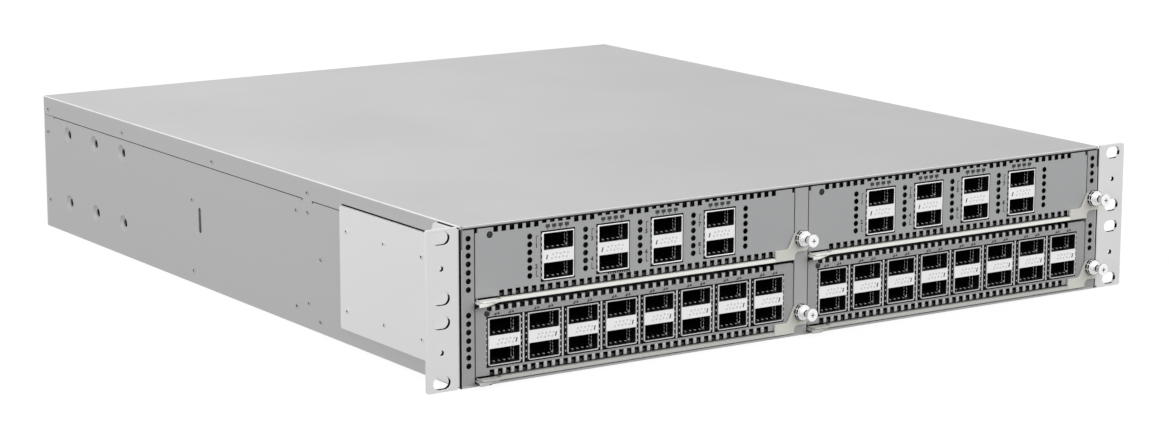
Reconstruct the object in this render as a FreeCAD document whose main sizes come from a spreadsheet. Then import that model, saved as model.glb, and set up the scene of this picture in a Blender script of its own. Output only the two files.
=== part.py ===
# Modular chassis switch, two rack units high: four line cards with stacked pluggable ports at the
# front, three fan modules, two power supplies and a management module at the rear.
# Frame: origin at the centre of the rack slots on the ears' front plane, X right, Y rearwards, Z up.
# Every piece is built as an object whose sizes are bound to the sheet "Sizes" (millimetres).
import FreeCAD, Part
import os
import re

import Sketcher
from FreeCAD import Placement, Rotation, Vector

SIZES = [
    # chassis
    ("chassis_width", 442.0, "outside of the folded sides"),
    ("chassis_height", 86.0, "outside, floor to cover"),
    ("chassis_depth", 522.0, "front plane to rear panel"),
    ("gauge", 1.2, "sheet thickness of chassis and card panels"),
    ("seam_level", 30.7, "top edge of the outer side wall"),
    ("seam_gap", 0.3, "slit between side wall and cover skirt"),
    ("hem_depth", 9.0, "cover's folded front hem"),
    ("hem_drop", 0.5, "how far the hem hangs below the cover"),
    ("side_hole_radius", 2.6, "holes for the rear slide rails"),
    ("side_hole_first", "=chassis_depth - 116.8", "front column of side holes"),
    ("side_hole_pitch", 40.2, "side holes along the chassis"),
    ("side_hole_low", -22.7, "lower row of side holes"),
    ("side_hole_rise", 44.5, "from lower to upper row"),
    ("side_slot_place", 298.4, "upright slot in the side, from the front"),
    ("side_slot_width", 3.4, "upright slot, along the chassis"),
    ("side_slot_low", -10.8, "bottom of the upright slot"),
    ("side_slot_height", 15.2, "length of the upright slot"),
    # rack ears
    ("slot_column_out", 11.55, "rack slots' column outside the chassis side"),
    ("ear_edge", 8.75, "slot column to the flange's outer edge"),
    ("ear_gauge", 2.0, "ear sheet thickness"),
    ("ear_height", 86.0, "ear flange height"),
    ("ear_plate_depth", 124.0, "ear side plate, rearwards"),
    ("ear_plate_rise", 34.4, "side plate half height"),
    ("ear_neck_depth", 24.0, "tall part of the side plate by the flange"),
    ("ear_neck_rise", 41.6, "half height of the neck"),
    ("slot_radius", 3.5, "half width of a rack slot"),
    ("slot_length", 10.5, "end to end"),
    ("slot_high", 38.1, "outer slots above and below centre"),
    ("slot_low", 6.35, "inner slots above and below centre"),
    ("ear_pilot_radius", 1.8, "small holes in the flange, to the corners"),
    ("ear_pilot_rise", 22.2, "small holes above and below centre"),
    # front posts
    ("post_width", 7.2, "side post face"),
    ("post_leg", 14.0, "side post leg, rearwards"),
    ("centre_post_width", 9.0, "middle post face"),
    ("post_hole_radius", 1.8, "vent holes in the side posts, to the corners"),
    ("post_hole_pitch", 4.5, "vent holes up the post"),
    ("post_hole_upper", 9.2, "lowest hole of the upper group"),
    ("post_hole_lower", -31.4, "lowest hole of the lower group"),
    ("post_hole_count", 7, "holes in each group of the left post"),
    ("right_post_hole_count", 4, "holes in each group of the right post"),
    # bays and guides
    ("bay_gap_beside", 0.65, "between a card panel and the post beside it"),
    ("bay_centre", "=(chassis_width / 2 - gauge - post_width + centre_post_width / 2) / 2", "card's centre"),
    ("upper_card_level", 3.75, "underside of the upper cards"),
    ("lower_card_level", -38.05, "underside of the lower cards"),
    ("guide_front", 16.0, "guides start behind the lever"),
    ("guide_ledge", 12.4, "ledge width from the guide's web"),
    ("divider_ledge", 8.2, "ledges either side of the divider's middle"),
    ("divider_offset", 2.8, "divider's web, beside the captive screws"),
    ("slide_gap", 0.3, "card tray above its ledge"),
    ("backplane_front", 252.0, "front face of the backplane"),
    ("backplane_gauge", 2.4, "backplane thickness"),
    ("backplane_width", "=chassis_width - 14", "backplane, side to side"),
    # cards
    ("card_width", "=chassis_width / 2 - gauge - post_width - centre_post_width / 2 - 2 * bay_gap_beside",
     "panel width"),
    ("panel_height", 37.1, "panel height"),
    ("tray_width", "=card_width - 0.8", "card tray width"),
    ("tray_length", 236.0, "card tray rear edge"),
    ("ear_lap", 9.0, "lap of the pivot ear under the tray"),
    ("tray_flange", 6.5, "side flanges of the tray, upwards"),
    ("board_width", 196.0, "card circuit board width"),
    ("board_gauge", 1.6, "circuit board thickness"),
    ("board_front", 4.0, "front edge of the board"),
    ("board_rear", 234.0, "rear edge of the board"),
    ("plug_width", 144.0, "backplane plug width"),
    ("plug_height", 11.0, "backplane plug height"),
    ("plug_depth", 8.0, "half of the mated plug, rearwards"),
    ("plug_gap", 0.3, "between plug and socket faces"),
    ("card_sink_width", 90.0, "card heat sink"),
    ("card_sink_depth", 60.0, "card heat sink, rearwards"),
    ("card_sink_height", 12.0, "card heat sink"),
    ("card_sink_front", 110.0, "front edge of the card heat sink"),
    # vents in the card panels
    ("upper_vent_pitch", 5.0, "edge vents along an upper card"),
    ("vent_width", 2.8, "edge vent width"),
    ("vent_top", 2.6, "height of a top vent"),
    ("vent_bottom", 3.1, "height of a bottom vent"),
    ("upper_top_first", -90.9, "first top vent of an upper card"),
    ("upper_bottom_first", -87.4, "first bottom vent of an upper card"),
    ("lower_top_first", -95.1, "first top vent of a lower card"),
    ("lower_bottom_first", -93.6, "first bottom vent of a lower card"),
    ("upper_bottom_count", 36, "bottom vents of an upper card"),
    ("lower_top_count", 37, "top vents of a lower card"),
    ("lower_bottom_count", 36, "bottom vents of a lower card"),
    ("lower_vent_pitch", 5.1, "edge vents along a lower card"),
    ("outer_vent_count", 6, "top vents of an upper card outside its cages"),
    ("inner_vent_count", 3, "top vents of an upper card between two cages"),
    ("vent_hole_radius", 1.9, "vent holes beside the cages, to the corners"),
    ("vent_hole_low", 8.4, "lowest vent hole above the panel's underside"),
    ("vent_hole_rise", 4.2, "vent holes up the panel"),
    ("vent_hole_count", 6, "vent holes in a column"),
    # port cages
    ("cage_width", 20.0, "outside, a pair of stacked ports"),
    ("cage_low", 5.1, "underside, on the board, above the panel's underside"),
    ("cage_height", 25.6, "outside"),
    ("cage_depth", 58.0, "behind the panel's front"),
    ("cage_proud", 0.6, "ahead of the panel's front"),
    ("cage_gap", 0.6, "around a cage in its window, filled by spring fingers"),
    ("socket_width", 18.4, "port opening"),
    ("socket_height", 8.5, "port opening"),
    ("socket_depth", 48.0, "port opening, rearwards"),
    ("socket_low", 0.7, "lower socket above the cage's underside"),
    ("socket_rise", 15.4, "lower socket to upper socket"),
    ("upper_cage_pitch", 35.0, "cages of an upper card"),
    ("upper_cage_count", 4, "cages of an upper card"),
    ("lower_cage_pitch", 24.6, "cages of a lower card"),
    ("lower_cage_count", 8, "cages of a lower card"),
    # ejector levers
    ("lever_gauge", 1.5, "lever sheet thickness"),
    ("lever_drop", 2.8, "lever underside below the card's underside"),
    ("lever_front", 1.8, "lever ahead of the front plane"),
    ("lever_back", 4.0, "lever behind the front plane"),
    ("lever_end", "=card_width / 2 - 0.4", "right end of the lever from the card's centre"),
    ("lever_gap", 0.3, "bracket ahead of panel and post"),
    ("pivot_place", "=4.9 - card_width / 2", "pivot from the card's centre"),
    ("pivot_ahead", 3.5, "pivot ahead of the front plane"),
    ("pivot_radius", 1.5, "pivot stud"),
    ("pivot_head_radius", 2.6, "pivot stud head"),
    ("pivot_head", 0.5, "pivot stud head thickness"),
    ("pivot_play", 0.09, "lever hole over the stud, all round"),
    ("ear_gap", 0.2, "tray's pivot ear under the panel and over the lever"),
    ("pivot_ear_ahead", 7.0, "tray's pivot ear ahead of the front plane"),
    ("pivot_ear_width", 10.0, "tray's pivot ear"),
    ("pad_ahead", 8.0, "finger pad of the lever ahead of the front plane"),
    ("bracket_start", "=lever_end - 13.1", "left end of the lever's screw bracket"),
    ("bracket_band", 3.5, "top of the bracket's low part"),
    # captive screws
    ("screw_place", "=card_width / 2 + 4", "screw from the card's centre"),
    ("screw_level", 9.1, "screw above the card's underside"),
    ("screw_radius", 2.0, "screw shank"),
    ("screw_fit", 0.09, "bracket eye over the shank, all round"),
    ("screw_play", 0.6, "post hole over the shank, all round"),
    ("screw_tip", 5.0, "shank behind the front plane"),
    ("screw_head_radius", 3.7, "screw head"),
    ("screw_neck_radius", 2.9, "knurled neck"),
    ("screw_collar_radius", 4.4, "collar against the bracket"),
    ("screw_collar", 3.4, "collar length"),
    ("screw_head", 2.2, "head thickness"),
    ("screw_ahead", 13.2, "head face ahead of the front plane"),
    # rear
    ("fan_pitch", 90.0, "fan modules, side to side"),
    ("fan_middle", -30.0, "middle fan module"),
    ("fan_width", 86.0, "fan module"),
    ("fan_height", 80.0, "fan module"),
    ("fan_length", 56.0, "fan module, into the chassis"),
    ("fan_wall", 3.0, "fan module wall"),
    ("fan_bar", 2.4, "guard bars"),
    ("fan_bar_pitch", 12.3, "guard bars, upright"),
    ("strut_width", 7.0, "motor struts"),
    ("strut_gauge", 6.0, "motor struts, rearwards"),
    ("hub_radius", 17.5, "rotor hub"),
    ("hub_depth", 24.0, "rotor hub, rearwards"),
    ("blade_reach", 35.5, "rotor tip radius"),
    ("blade_gauge", 1.8, "rotor blade thickness"),
    ("blade_count", 4, "rotor blades"),
    ("running_gap", 0.3, "between turning and still faces"),
    ("bearing_gap", 0.08, "between a bearing's faces"),
    ("bay_gap", 0.3, "module in its window"),
    ("grip_reach", 17.0, "fan grip behind the rear face"),
    ("grip_gauge", 3.0, "fan grip section"),
    ("fan_latch_height", 14.0, "fan latch tab"),
    ("fan_latch_width", 6.0, "fan latch tab"),
    ("fan_latch_reach", 10.0, "fan latch tab behind the rear face"),
    ("supply_centre", "=chassis_width / 2 - 51", "power supplies"),
    ("supply_width", 76.0, "power supply"),
    ("supply_height", 40.0, "power supply"),
    ("supply_length", 190.0, "power supply, into the chassis"),
    ("supply_grille", 33.0, "fan opening of a power supply"),
    ("supply_grille_depth", 15.0, "fan opening of a power supply"),
    ("supply_rotor_radius", 15.2, "power supply rotor"),
    ("supply_rotor_hub", 7.0, "power supply rotor hub"),
    ("inlet_width", 27.6, "mains inlet"),
    ("inlet_height", 20.2, "mains inlet"),
    ("inlet_depth", 16.0, "mains inlet"),
    ("supply_grip_reach", 20.0, "power supply handle"),
    ("supply_grip_span", 30.0, "power supply handle, upright"),
    ("supply_latch_width", 4.0, "power supply latch"),
    ("supply_latch_height", 10.0, "power supply latch"),
    ("supply_latch_reach", 9.0, "power supply latch"),
    ("module_centre", "=29 - chassis_width / 2", "management module"),
    ("module_width", 39.0, "management module"),
    ("module_height", 70.0, "management module"),
    ("module_length", 60.0, "management module, into the chassis"),
    ("jack_width", 12.2, "network jack"),
    ("jack_height", 11.2, "network jack"),
    ("jack_depth", 14.0, "network jack"),
    ("jack_pitch", 16.0, "network jacks, upright"),
    ("main_board_level", -36.0, "underside of the main board"),
    ("main_board_front", 258.0, "main board"),
    ("main_board_rear", "=chassis_depth - 67", "main board"),
    ("main_board_left", "=9 - chassis_width / 2", "main board"),
    ("main_board_right", 122.0, "main board"),
    ("sink_width", 120.0, "main heat sink"),
    ("sink_length", 96.0, "main heat sink"),
    ("sink_base", 6.0, "main heat sink base"),
    ("sink_height", 48.0, "main heat sink, with fins"),
    ("sink_fin", 3.0, "main heat sink fins"),
    ("sink_fin_pitch", 23.4, "main heat sink fins"),
    ("sink_fin_count", 6, "main heat sink fins"),
    ("rail", 8.0, "width of the rails under the circuit boards"),
]

doc = FreeCAD.newDocument("ModularChassisSwitch")
sheet = doc.addObject("Spreadsheet::Sheet", "Sizes")
for row, (alias, size, meaning) in enumerate(SIZES, 1):
    sheet.set("A%d" % row, meaning)
    sheet.set("B%d" % row, str(size))
    sheet.setAlias("B%d" % row, alias)
doc.recompute()

ALIASES = {alias for alias, size, meaning in SIZES}
pieces = []


def linked(text):
    """The expression with every size's name pointed at the sheet."""
    return re.sub(r"[a-z_]+", lambda m: "Sizes." + m.group() if m.group() in ALIASES else m.group(), text)


def amount(text):
    """Present value of an expression."""
    found = sheet.evalExpression(linked(text))
    return float(getattr(found, "Value", found))


def bind(thing, **links):
    for name, text in links.items():
        thing.setExpression(name, linked(text))
    return thing


def place(thing, x="0", y="0", z="0"):
    for name, text in (("x", x), ("y", y), ("z", z)):
        thing.setExpression("Placement.Base." + name, linked(text))
    return thing


def piece(thing, label):
    """Registers a finished sub-part under the name of its file."""
    thing.Label = label
    pieces.append(thing)
    return thing


# ---- sketches and PartDesign features ----

def new_body(label, x="0", y="0", z="0"):
    body = doc.addObject("PartDesign::Body", label + "_body")
    place(body, x, y, z)
    return piece(body, label)


def origin_of(body, role):
    return next(f for f in body.Origin.OriginFeatures if f.Role == role)


def new_sketch(body, name, plane, offset):
    """Sketch on one of the body's own planes; offset is its place along the plane's axis."""
    sketch = body.newObject("Sketcher::SketchObject", name)
    sketch.AttachmentSupport = [(origin_of(body, plane + "_Plane"), "")]
    sketch.MapMode = "FlatFace"
    along = "-(" + offset + ")" if plane == "XZ" else offset
    sketch.setExpression("AttachmentOffset.Base.z", linked(along))
    return sketch


def pin_down(sketch, geometry, point, x, y):
    """Ties one sketch point to two expressions."""
    for kind, text in (("DistanceX", x), ("DistanceY", y)):
        number = sketch.addConstraint(Sketcher.Constraint(kind, -1, 1, geometry, point, amount(text)))
        sketch.setExpression("Constraints[%d]" % number, linked(text))


def outlines(body, name, plane, loops, offset="0"):
    """Sketch of closed straight-sided loops, each a list of (across, up) expressions."""
    sketch = new_sketch(body, name, plane, offset)
    for loop in loops:
        corners = [Vector(amount(x), amount(y), 0) for x, y in loop]
        first = sketch.GeometryCount
        for i, corner in enumerate(corners):
            sketch.addGeometry(Part.LineSegment(corner, corners[(i + 1) % len(corners)]), False)
        for i, (x, y) in enumerate(loop):
            after = first + (i + 1) % len(loop)
            sketch.addConstraint(Sketcher.Constraint("Coincident", first + i, 2, after, 1))
            pin_down(sketch, first + i, 1, x, y)
    return sketch


def rectangle(x0, x1, y0, y1):
    return [(x0, y0), (x1, y0), (x1, y1), (x0, y1)]


def polygon(sides, radius, x, y):
    """Regular polygon with a flat at the top; radius is to its corners."""
    half = 180.0 / sides
    return [("%s + (%s) * cos(%g deg)" % (x, radius, (2 * i + 1) * half),
             "%s + (%s) * sin(%g deg)" % (y, radius, (2 * i + 1) * half)) for i in range(sides)]


def hexagon(flat_radius, x, y):
    """Hexagon given by the radius of the circle that touches its flats."""
    return polygon(6, "(%s) / cos(30 deg)" % flat_radius, x, y)


def pad(body, name, sketch, length):
    """Pad towards +X, +Y or +Z."""
    feature = body.newObject("PartDesign::Pad", name)
    feature.Profile = sketch
    bind(feature, Length=length)
    feature.Reversed = sketch.AttachmentSupport[0][0].Role == "XZ_Plane"
    body.Tip = feature
    return feature


def pocket(body, name, sketch, length):
    """Pocket towards +X, +Y or +Z."""
    feature = body.newObject("PartDesign::Pocket", name)
    feature.Profile = sketch
    bind(feature, Length=length)
    feature.Reversed = sketch.AttachmentSupport[0][0].Role != "XZ_Plane"
    feature.Refine = False
    body.Tip = feature
    return feature


def row_of(body, name, feature, axis, pitch, count, axis2=None, pitch2="0", count2="1"):
    """Linear pattern of a feature along one or two axes of the body."""
    pattern = body.newObject("PartDesign::LinearPattern", name)
    pattern.Originals = [feature]
    pattern.Refine = False
    pattern.Direction = (origin_of(body, axis + "_Axis"), [""])
    bind(pattern, Length="(%s) * (%s - 1)" % (pitch, count), Occurrences=count)
    if axis2:
        pattern.Direction2 = (origin_of(body, axis2 + "_Axis"), [""])
        bind(pattern, Length2="(%s) * (%s - 1)" % (pitch2, count2), Occurrences2=count2)
    body.Tip = pattern
    return pattern


def ring_of(body, name, feature, count):
    """Polar pattern of a feature about the body's Y axis."""
    pattern = body.newObject("PartDesign::PolarPattern", name)
    pattern.Originals = [feature]
    pattern.Axis = (origin_of(body, "Y_Axis"), [""])
    pattern.Angle = 360
    bind(pattern, Occurrences=count)
    body.Tip = pattern
    return pattern


# ---- Part primitives and booleans ----

def box(name, x, y, z):
    """Box between pairs of expressions."""
    thing = doc.addObject("Part::Box", name)
    bind(thing, Length="(%s) - (%s)" % (x[1], x[0]), Width="(%s) - (%s)" % (y[1], y[0]),
         Height="(%s) - (%s)" % (z[1], z[0]))
    return place(thing, x[0], y[0], z[0])


def prism(name, sides, radius, x, y, z, axis="Y"):
    """Regular prism along Y or Z; the pair gives its two ends."""
    thing = doc.addObject("Part::Prism", name)
    thing.Polygon = sides
    ends = y if axis == "Y" else z
    bind(thing, Circumradius=radius, Height="(%s) - (%s)" % (ends[1], ends[0]))
    half_turn = Rotation(Vector(0, 0, 1), 180.0 / sides)
    turn = Rotation(Vector(1, 0, 0), -90) if axis == "Y" else Rotation()
    thing.Placement = Placement(Vector(), turn.multiply(half_turn))
    if axis == "Y":
        return place(thing, x, y[0], z)
    return place(thing, x, y, z[0])


def fuse(label, *things):
    thing = doc.addObject("Part::MultiFuse", label + "_fuse")
    thing.Shapes = list(things)
    thing.Refine = True
    return thing


def cut(label, base, *tools):
    thing = doc.addObject("Part::Cut", label + "_cut")
    thing.Base = base
    thing.Tool = tools[0] if len(tools) == 1 else fuse(label + "_tools", *tools)
    thing.Refine = True
    return thing


def middle(centre, width):
    """Pair of expressions either side of a centre."""
    return "%s - (%s) / 2" % (centre, width), "%s + (%s) / 2" % (centre, width)


HALF = "chassis_width / 2"
INNER = "(chassis_width / 2 - gauge)"
BASE = "-chassis_height / 2"
FLOOR = "(gauge - chassis_height / 2)"
ROOF = "(chassis_height / 2 - gauge)"
UNDER_HEM = "(chassis_height / 2 - gauge - hem_drop)"
REAR = "chassis_depth"


def chassis_tray():
    """Floor and sides folded from one sheet, with an inner flange that the cover's skirt laps."""
    body = new_body("chassis_tray")
    channel = [("-" + HALF, BASE), (HALF, BASE), (HALF, "seam_level"), (INNER, "seam_level"),
               (INNER, FLOOR), ("-" + INNER, FLOOR), ("-" + INNER, "seam_level"), ("-" + HALF, "seam_level")]
    pad(body, "tray_channel", outlines(body, "tray_profile", "XZ", [channel]), REAR)
    lap = [rectangle(INNER + " - gauge", INNER, "seam_level - gauge", ROOF),
           rectangle("-" + INNER, "gauge - " + INNER, "seam_level - gauge", ROOF)]
    flange_front = "2 * gauge"
    pad(body, "tray_lap", outlines(body, "lap_profile", "XZ", lap, flange_front),
        "%s - gauge - %s" % (REAR, flange_front))
    hole = outlines(body, "side_hole", "YZ", [polygon(6, "side_hole_radius", "side_hole_first", "side_hole_low")],
                    "-" + HALF)
    drilled = pocket(body, "side_hole_cut", hole, "chassis_width")
    row_of(body, "side_holes", drilled, "Y", "side_hole_pitch", "3", "Z", "side_hole_rise", "2")
    slot = rectangle(*middle("side_slot_place", "side_slot_width"), "side_slot_low",
                     "side_slot_low + side_slot_height")
    pocket(body, "side_slots", outlines(body, "side_slot", "YZ", [slot], "-" + HALF), "chassis_width")


def top_cover():
    """Folded lid: top, two skirts, and a hem under the front edge."""
    body = new_body("top_cover")
    skirt_end = "seam_level + seam_gap"
    lid = [("-" + HALF, skirt_end), ("-" + INNER, skirt_end), ("-" + INNER, ROOF), (INNER, ROOF),
           (INNER, skirt_end), (HALF, skirt_end), (HALF, "chassis_height / 2"), ("-" + HALF, "chassis_height / 2")]
    pad(body, "cover_channel", outlines(body, "cover_profile", "XZ", [lid]), REAR)
    hem_edge = "(%s - 2 * gauge)" % INNER
    hem = rectangle("-" + hem_edge, hem_edge, UNDER_HEM, ROOF)
    pad(body, "cover_hem", outlines(body, "hem_profile", "XZ", [hem]), "hem_depth")


def screw_holes(body):
    """Clearance holes for the two captive screws that reach a post, on the body's own X."""
    for name, level in (("upper", "upper_card_level"), ("lower", "lower_card_level")):
        loop = hexagon("screw_radius + screw_play", "screw_place - bay_centre", level + " + screw_level")
        pocket(body, name + "_screw_hole", outlines(body, name + "_screw_place", "XZ", [loop]), "gauge")


def front_post(side, sign):
    """Angle behind each ear, with a column of vent holes beside the cards."""
    body = new_body("front_post_" + side)
    outer, inner = INNER, "(%s - post_width)" % INNER

    def across(a, b):
        return ("-" + b, "-" + a) if sign < 0 else (a, b)

    face = rectangle(*across(inner, outer), "0", "gauge")
    sketch = outlines(body, side + "_face", "XY", [face], FLOOR)
    pad(body, side + "_post_face", sketch, "%s - %s" % (UNDER_HEM, FLOOR))
    leg = rectangle(*across(inner, "(%s + gauge)" % inner), "gauge", "post_leg")
    pad(body, side + "_inner_leg", outlines(body, side + "_leg_in", "XY", [leg], FLOOR),
        "%s - %s" % (UNDER_HEM, FLOOR))
    centre = "(%s)" % " + ".join(across(inner, outer)) + " / 2"
    if sign < 0:
        for name, low in (("upper", "post_hole_upper"), ("lower", "post_hole_lower")):
            loop = polygon(4, "post_hole_radius", centre, low)
            drilled = pocket(body, side + name + "_vent", outlines(body, side + name, "XZ", [loop]), "gauge")
            row_of(body, side + name + "_vents", drilled, "Z", "post_hole_pitch", "post_hole_count")
    else:
        for name, low in (("upper", "post_hole_upper"), ("lower", "post_hole_lower")):
            top = "%s + post_hole_pitch * (post_hole_count - right_post_hole_count)" % low
            loop = polygon(4, "post_hole_radius", centre, top)
            drilled = pocket(body, side + name + "_vent", outlines(body, side + name, "XZ", [loop]), "gauge")
            row_of(body, side + name + "_vents", drilled, "Z", "post_hole_pitch", "right_post_hole_count")
        for name, level in (("upper", "upper_card_level"), ("lower", "lower_card_level")):
            loop = hexagon("screw_radius + screw_play", "bay_centre + screw_place", level + " + screw_level")
            pocket(body, name + "_right_hole", outlines(body, name + "_right_place", "XZ", [loop]), "gauge")


def ledges(inner, outer):
    """Card ledges of both levels, between two places across the chassis."""
    return [rectangle(inner, outer, level + " - slide_gap - gauge", level + " - slide_gap")
            for level in ("upper_card_level", "lower_card_level")]


def centre_divider():
    """Middle post with a web back to the backplane and card ledges on both sides."""
    body = new_body("centre_divider")
    half_face = "centre_post_width / 2"
    left, right = middle("divider_offset", "gauge")
    tee = [("-" + half_face, "0"), (half_face, "0"), (half_face, "gauge"), (right, "gauge"),
           (right, "backplane_front"), (left, "backplane_front"), (left, "gauge"), ("-" + half_face, "gauge")]
    pad(body, "divider_web", outlines(body, "divider_plan", "XY", [tee], FLOOR), "%s - %s" % (UNDER_HEM, FLOOR))
    reach = "divider_ledge"
    pad(body, "divider_ledges", outlines(body, "ledge_ends", "XZ", ledges("-" + reach, reach), "guide_front"),
        "backplane_front - guide_front")
    screw_holes(body)


def card_guide(side, sign):
    """Side wall of the card cage with a ledge under each card."""
    body = new_body("card_guide_" + side)
    outer = "(%s - gauge)" % INNER
    web = "(%s - gauge)" % outer
    reach = "(%s - guide_ledge)" % web

    def across(a, b):
        return ("-" + b, "-" + a) if sign < 0 else (a, b)

    upright = rectangle(*across(web, outer), FLOOR, UNDER_HEM)
    pad(body, side + "_guide_web", outlines(body, side + "_web", "XZ", [upright], "guide_front"),
        "backplane_front - guide_front")
    loops = ledges(*across(reach, web))
    pad(body, side + "_guide_ledges", outlines(body, side + "_ledges", "XZ", loops, "guide_front"),
        "backplane_front - guide_front")


def slot_sketch(body, name, x, z):
    """Round-ended slot lying along X."""
    sketch = new_sketch(body, name, "XZ", "0")
    radius, centre_x, centre_z = amount("slot_radius"), amount(x), amount(z)
    reach = amount("slot_length / 2 - slot_radius")
    left, right = Vector(centre_x - reach, centre_z, 0), Vector(centre_x + reach, centre_z, 0)
    rise, up, quarter = Vector(0, radius, 0), Vector(0, 0, 1), 1.5707963267948966
    sketch.addGeometry(Part.ArcOfCircle(Part.Circle(left, up, radius), quarter, 3 * quarter), False)
    sketch.addGeometry(Part.ArcOfCircle(Part.Circle(right, up, radius), -quarter, quarter), False)
    sketch.addGeometry(Part.LineSegment(left - rise, right - rise), False)
    sketch.addGeometry(Part.LineSegment(right + rise, left + rise), False)
    for joint in ((0, 2, 2, 1), (2, 2, 1, 1), (1, 2, 3, 1), (3, 2, 0, 1)):
        sketch.addConstraint(Sketcher.Constraint("Tangent", *joint))
    number = sketch.addConstraint(Sketcher.Constraint("Radius", 0, radius))
    sketch.setExpression("Constraints[%d]" % number, linked("slot_radius"))
    pin_down(sketch, 0, 3, x + " - (slot_length / 2 - slot_radius)", z)
    pin_down(sketch, 1, 3, x + " + (slot_length / 2 - slot_radius)", z)
    return sketch


def long_octagon(x, z):
    """Outline of a rack slot with cut corners."""
    end, flat, cut_off = "slot_length / 2", "slot_radius", "0.6 * slot_radius"
    corners = [(end, flat + " - " + cut_off), (end + " - " + cut_off, flat)]
    loop = []
    for sx, sz, order in ((1, 1, 1), (-1, 1, -1), (-1, -1, 1), (1, -1, -1)):
        loop += [("%s + %d * (%s)" % (x, sx, a), "%s + %d * (%s)" % (z, sz, b)) for a, b in corners[::order]]
    return loop


def rack_ear(side, sign):
    """Rack ear: slotted flange and side plate, one folded piece."""
    body = new_body("rack_ear_" + side)
    root, plate = "(%s)" % HALF, "(%s + ear_gauge)" % HALF
    column_out = "(%s + slot_column_out)" % HALF
    tip = "(%s + ear_edge)" % column_out
    top = "(ear_height / 2)"

    def side_of(text):
        return "-" + text if sign < 0 else text

    flange = rectangle(*sorted((side_of(root), side_of(tip))), "-" + top, top)
    pad(body, side + "_flange", outlines(body, side + "_flange_outline", "XZ", [flange]), "ear_gauge")
    sheet_side = [("0", "-ear_neck_rise"), ("ear_neck_depth", "-ear_neck_rise"),
                  ("ear_neck_depth", "-ear_plate_rise"), ("ear_plate_depth", "-ear_plate_rise"),
                  ("ear_plate_depth", "ear_plate_rise"), ("ear_neck_depth", "ear_plate_rise"),
                  ("ear_neck_depth", "ear_neck_rise"), ("0", "ear_neck_rise")]
    start = "-" + plate if sign < 0 else root
    pad(body, side + "_plate", outlines(body, side + "_plate_outline", "YZ", [sheet_side], start), "ear_gauge")
    column = side_of(column_out)
    slot = pocket(body, side + "_slot", slot_sketch(body, side + "_slot_outline", column, "-slot_high"), "ear_gauge")
    row_of(body, side + "_slots", slot, "Z", "2 * slot_high", "2")
    inner = [long_octagon(column, rise) for rise in ("slot_low", "-slot_low")]
    holes = [polygon(4, "ear_pilot_radius", column, rise) for rise in ("ear_pilot_rise", "-ear_pilot_rise")]
    pocket(body, side + "_holes", outlines(body, side + "_hole_places", "XZ", inner + holes), "ear_gauge")


def edge_vents(body, name, pitch, first, count, low, high, *groups):
    """Row of notches that are open at the panel's edge; groups gives the step and number of such rows."""
    notch = outlines(body, name, "XZ", [rectangle(*middle(first, "vent_width"), low, high)])
    again = ("X",) + groups if groups else ()
    row_of(body, name + "_row", pocket(body, name + "_cut", notch, "gauge"), "X", pitch, count, *again)


def card_panel(card):
    """Card face with port windows, rows of edge vents and, on an upper card, columns of vent holes."""
    label, level = card["name"] + "_panel", card["level"]
    body = new_body(label, card["x"], "0", card["z"])
    face = rectangle("-card_width / 2", "card_width / 2", "0", "panel_height")
    pad(body, label + "_face", outlines(body, label + "_outline", "XZ", [face]), "gauge")
    low, high = "cage_low - cage_gap", "cage_low + cage_height + cage_gap"
    across = middle(card["cage_first"], "cage_width + 2 * cage_gap")
    if level == "lower":
        across = card["gang"][0] + " - cage_gap", card["gang"][1] + " + cage_gap"
    window = outlines(body, label + "_window_outline", "XZ", [rectangle(*across, low, high)])
    opened = pocket(body, label + "_window", window, "gauge")
    if level == "upper":
        row_of(body, label + "_windows", opened, "X", card["cage_pitch"], card["cage_count"])
    pitch, bottom, top = level + "_vent_pitch", ("-1", "vent_bottom"), ("panel_height - vent_top", "panel_height + 1")
    edge_vents(body, label + "_bottom", pitch, level + "_bottom_first", level + "_bottom_count", *bottom)
    if level == "lower":
        edge_vents(body, label + "_top", pitch, "lower_top_first", "lower_top_count", *top)
        return
    inner_first = "-upper_cage_pitch * (upper_cage_count - 2) / 2 - (inner_vent_count - 1) * %s / 2" % pitch
    edge_vents(body, label + "_outer", pitch, "upper_top_first", "outer_vent_count", *top,
               "-2 * upper_top_first - (outer_vent_count - 1) * " + pitch, "2")
    edge_vents(body, label + "_inner", pitch, inner_first, "inner_vent_count", *top,
               "upper_cage_pitch", "upper_cage_count - 1")
    loop = polygon(4, "vent_hole_radius", "-upper_cage_pitch * upper_cage_count / 2", "vent_hole_low")
    drilled = pocket(body, label + "_hole", outlines(body, label + "_hole_outline", "XZ", [loop]), "gauge")
    row_of(body, label + "_holes", drilled, "X", "upper_cage_pitch", "upper_cage_count + 1",
           "Z", "vent_hole_rise", "vent_hole_count")


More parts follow.
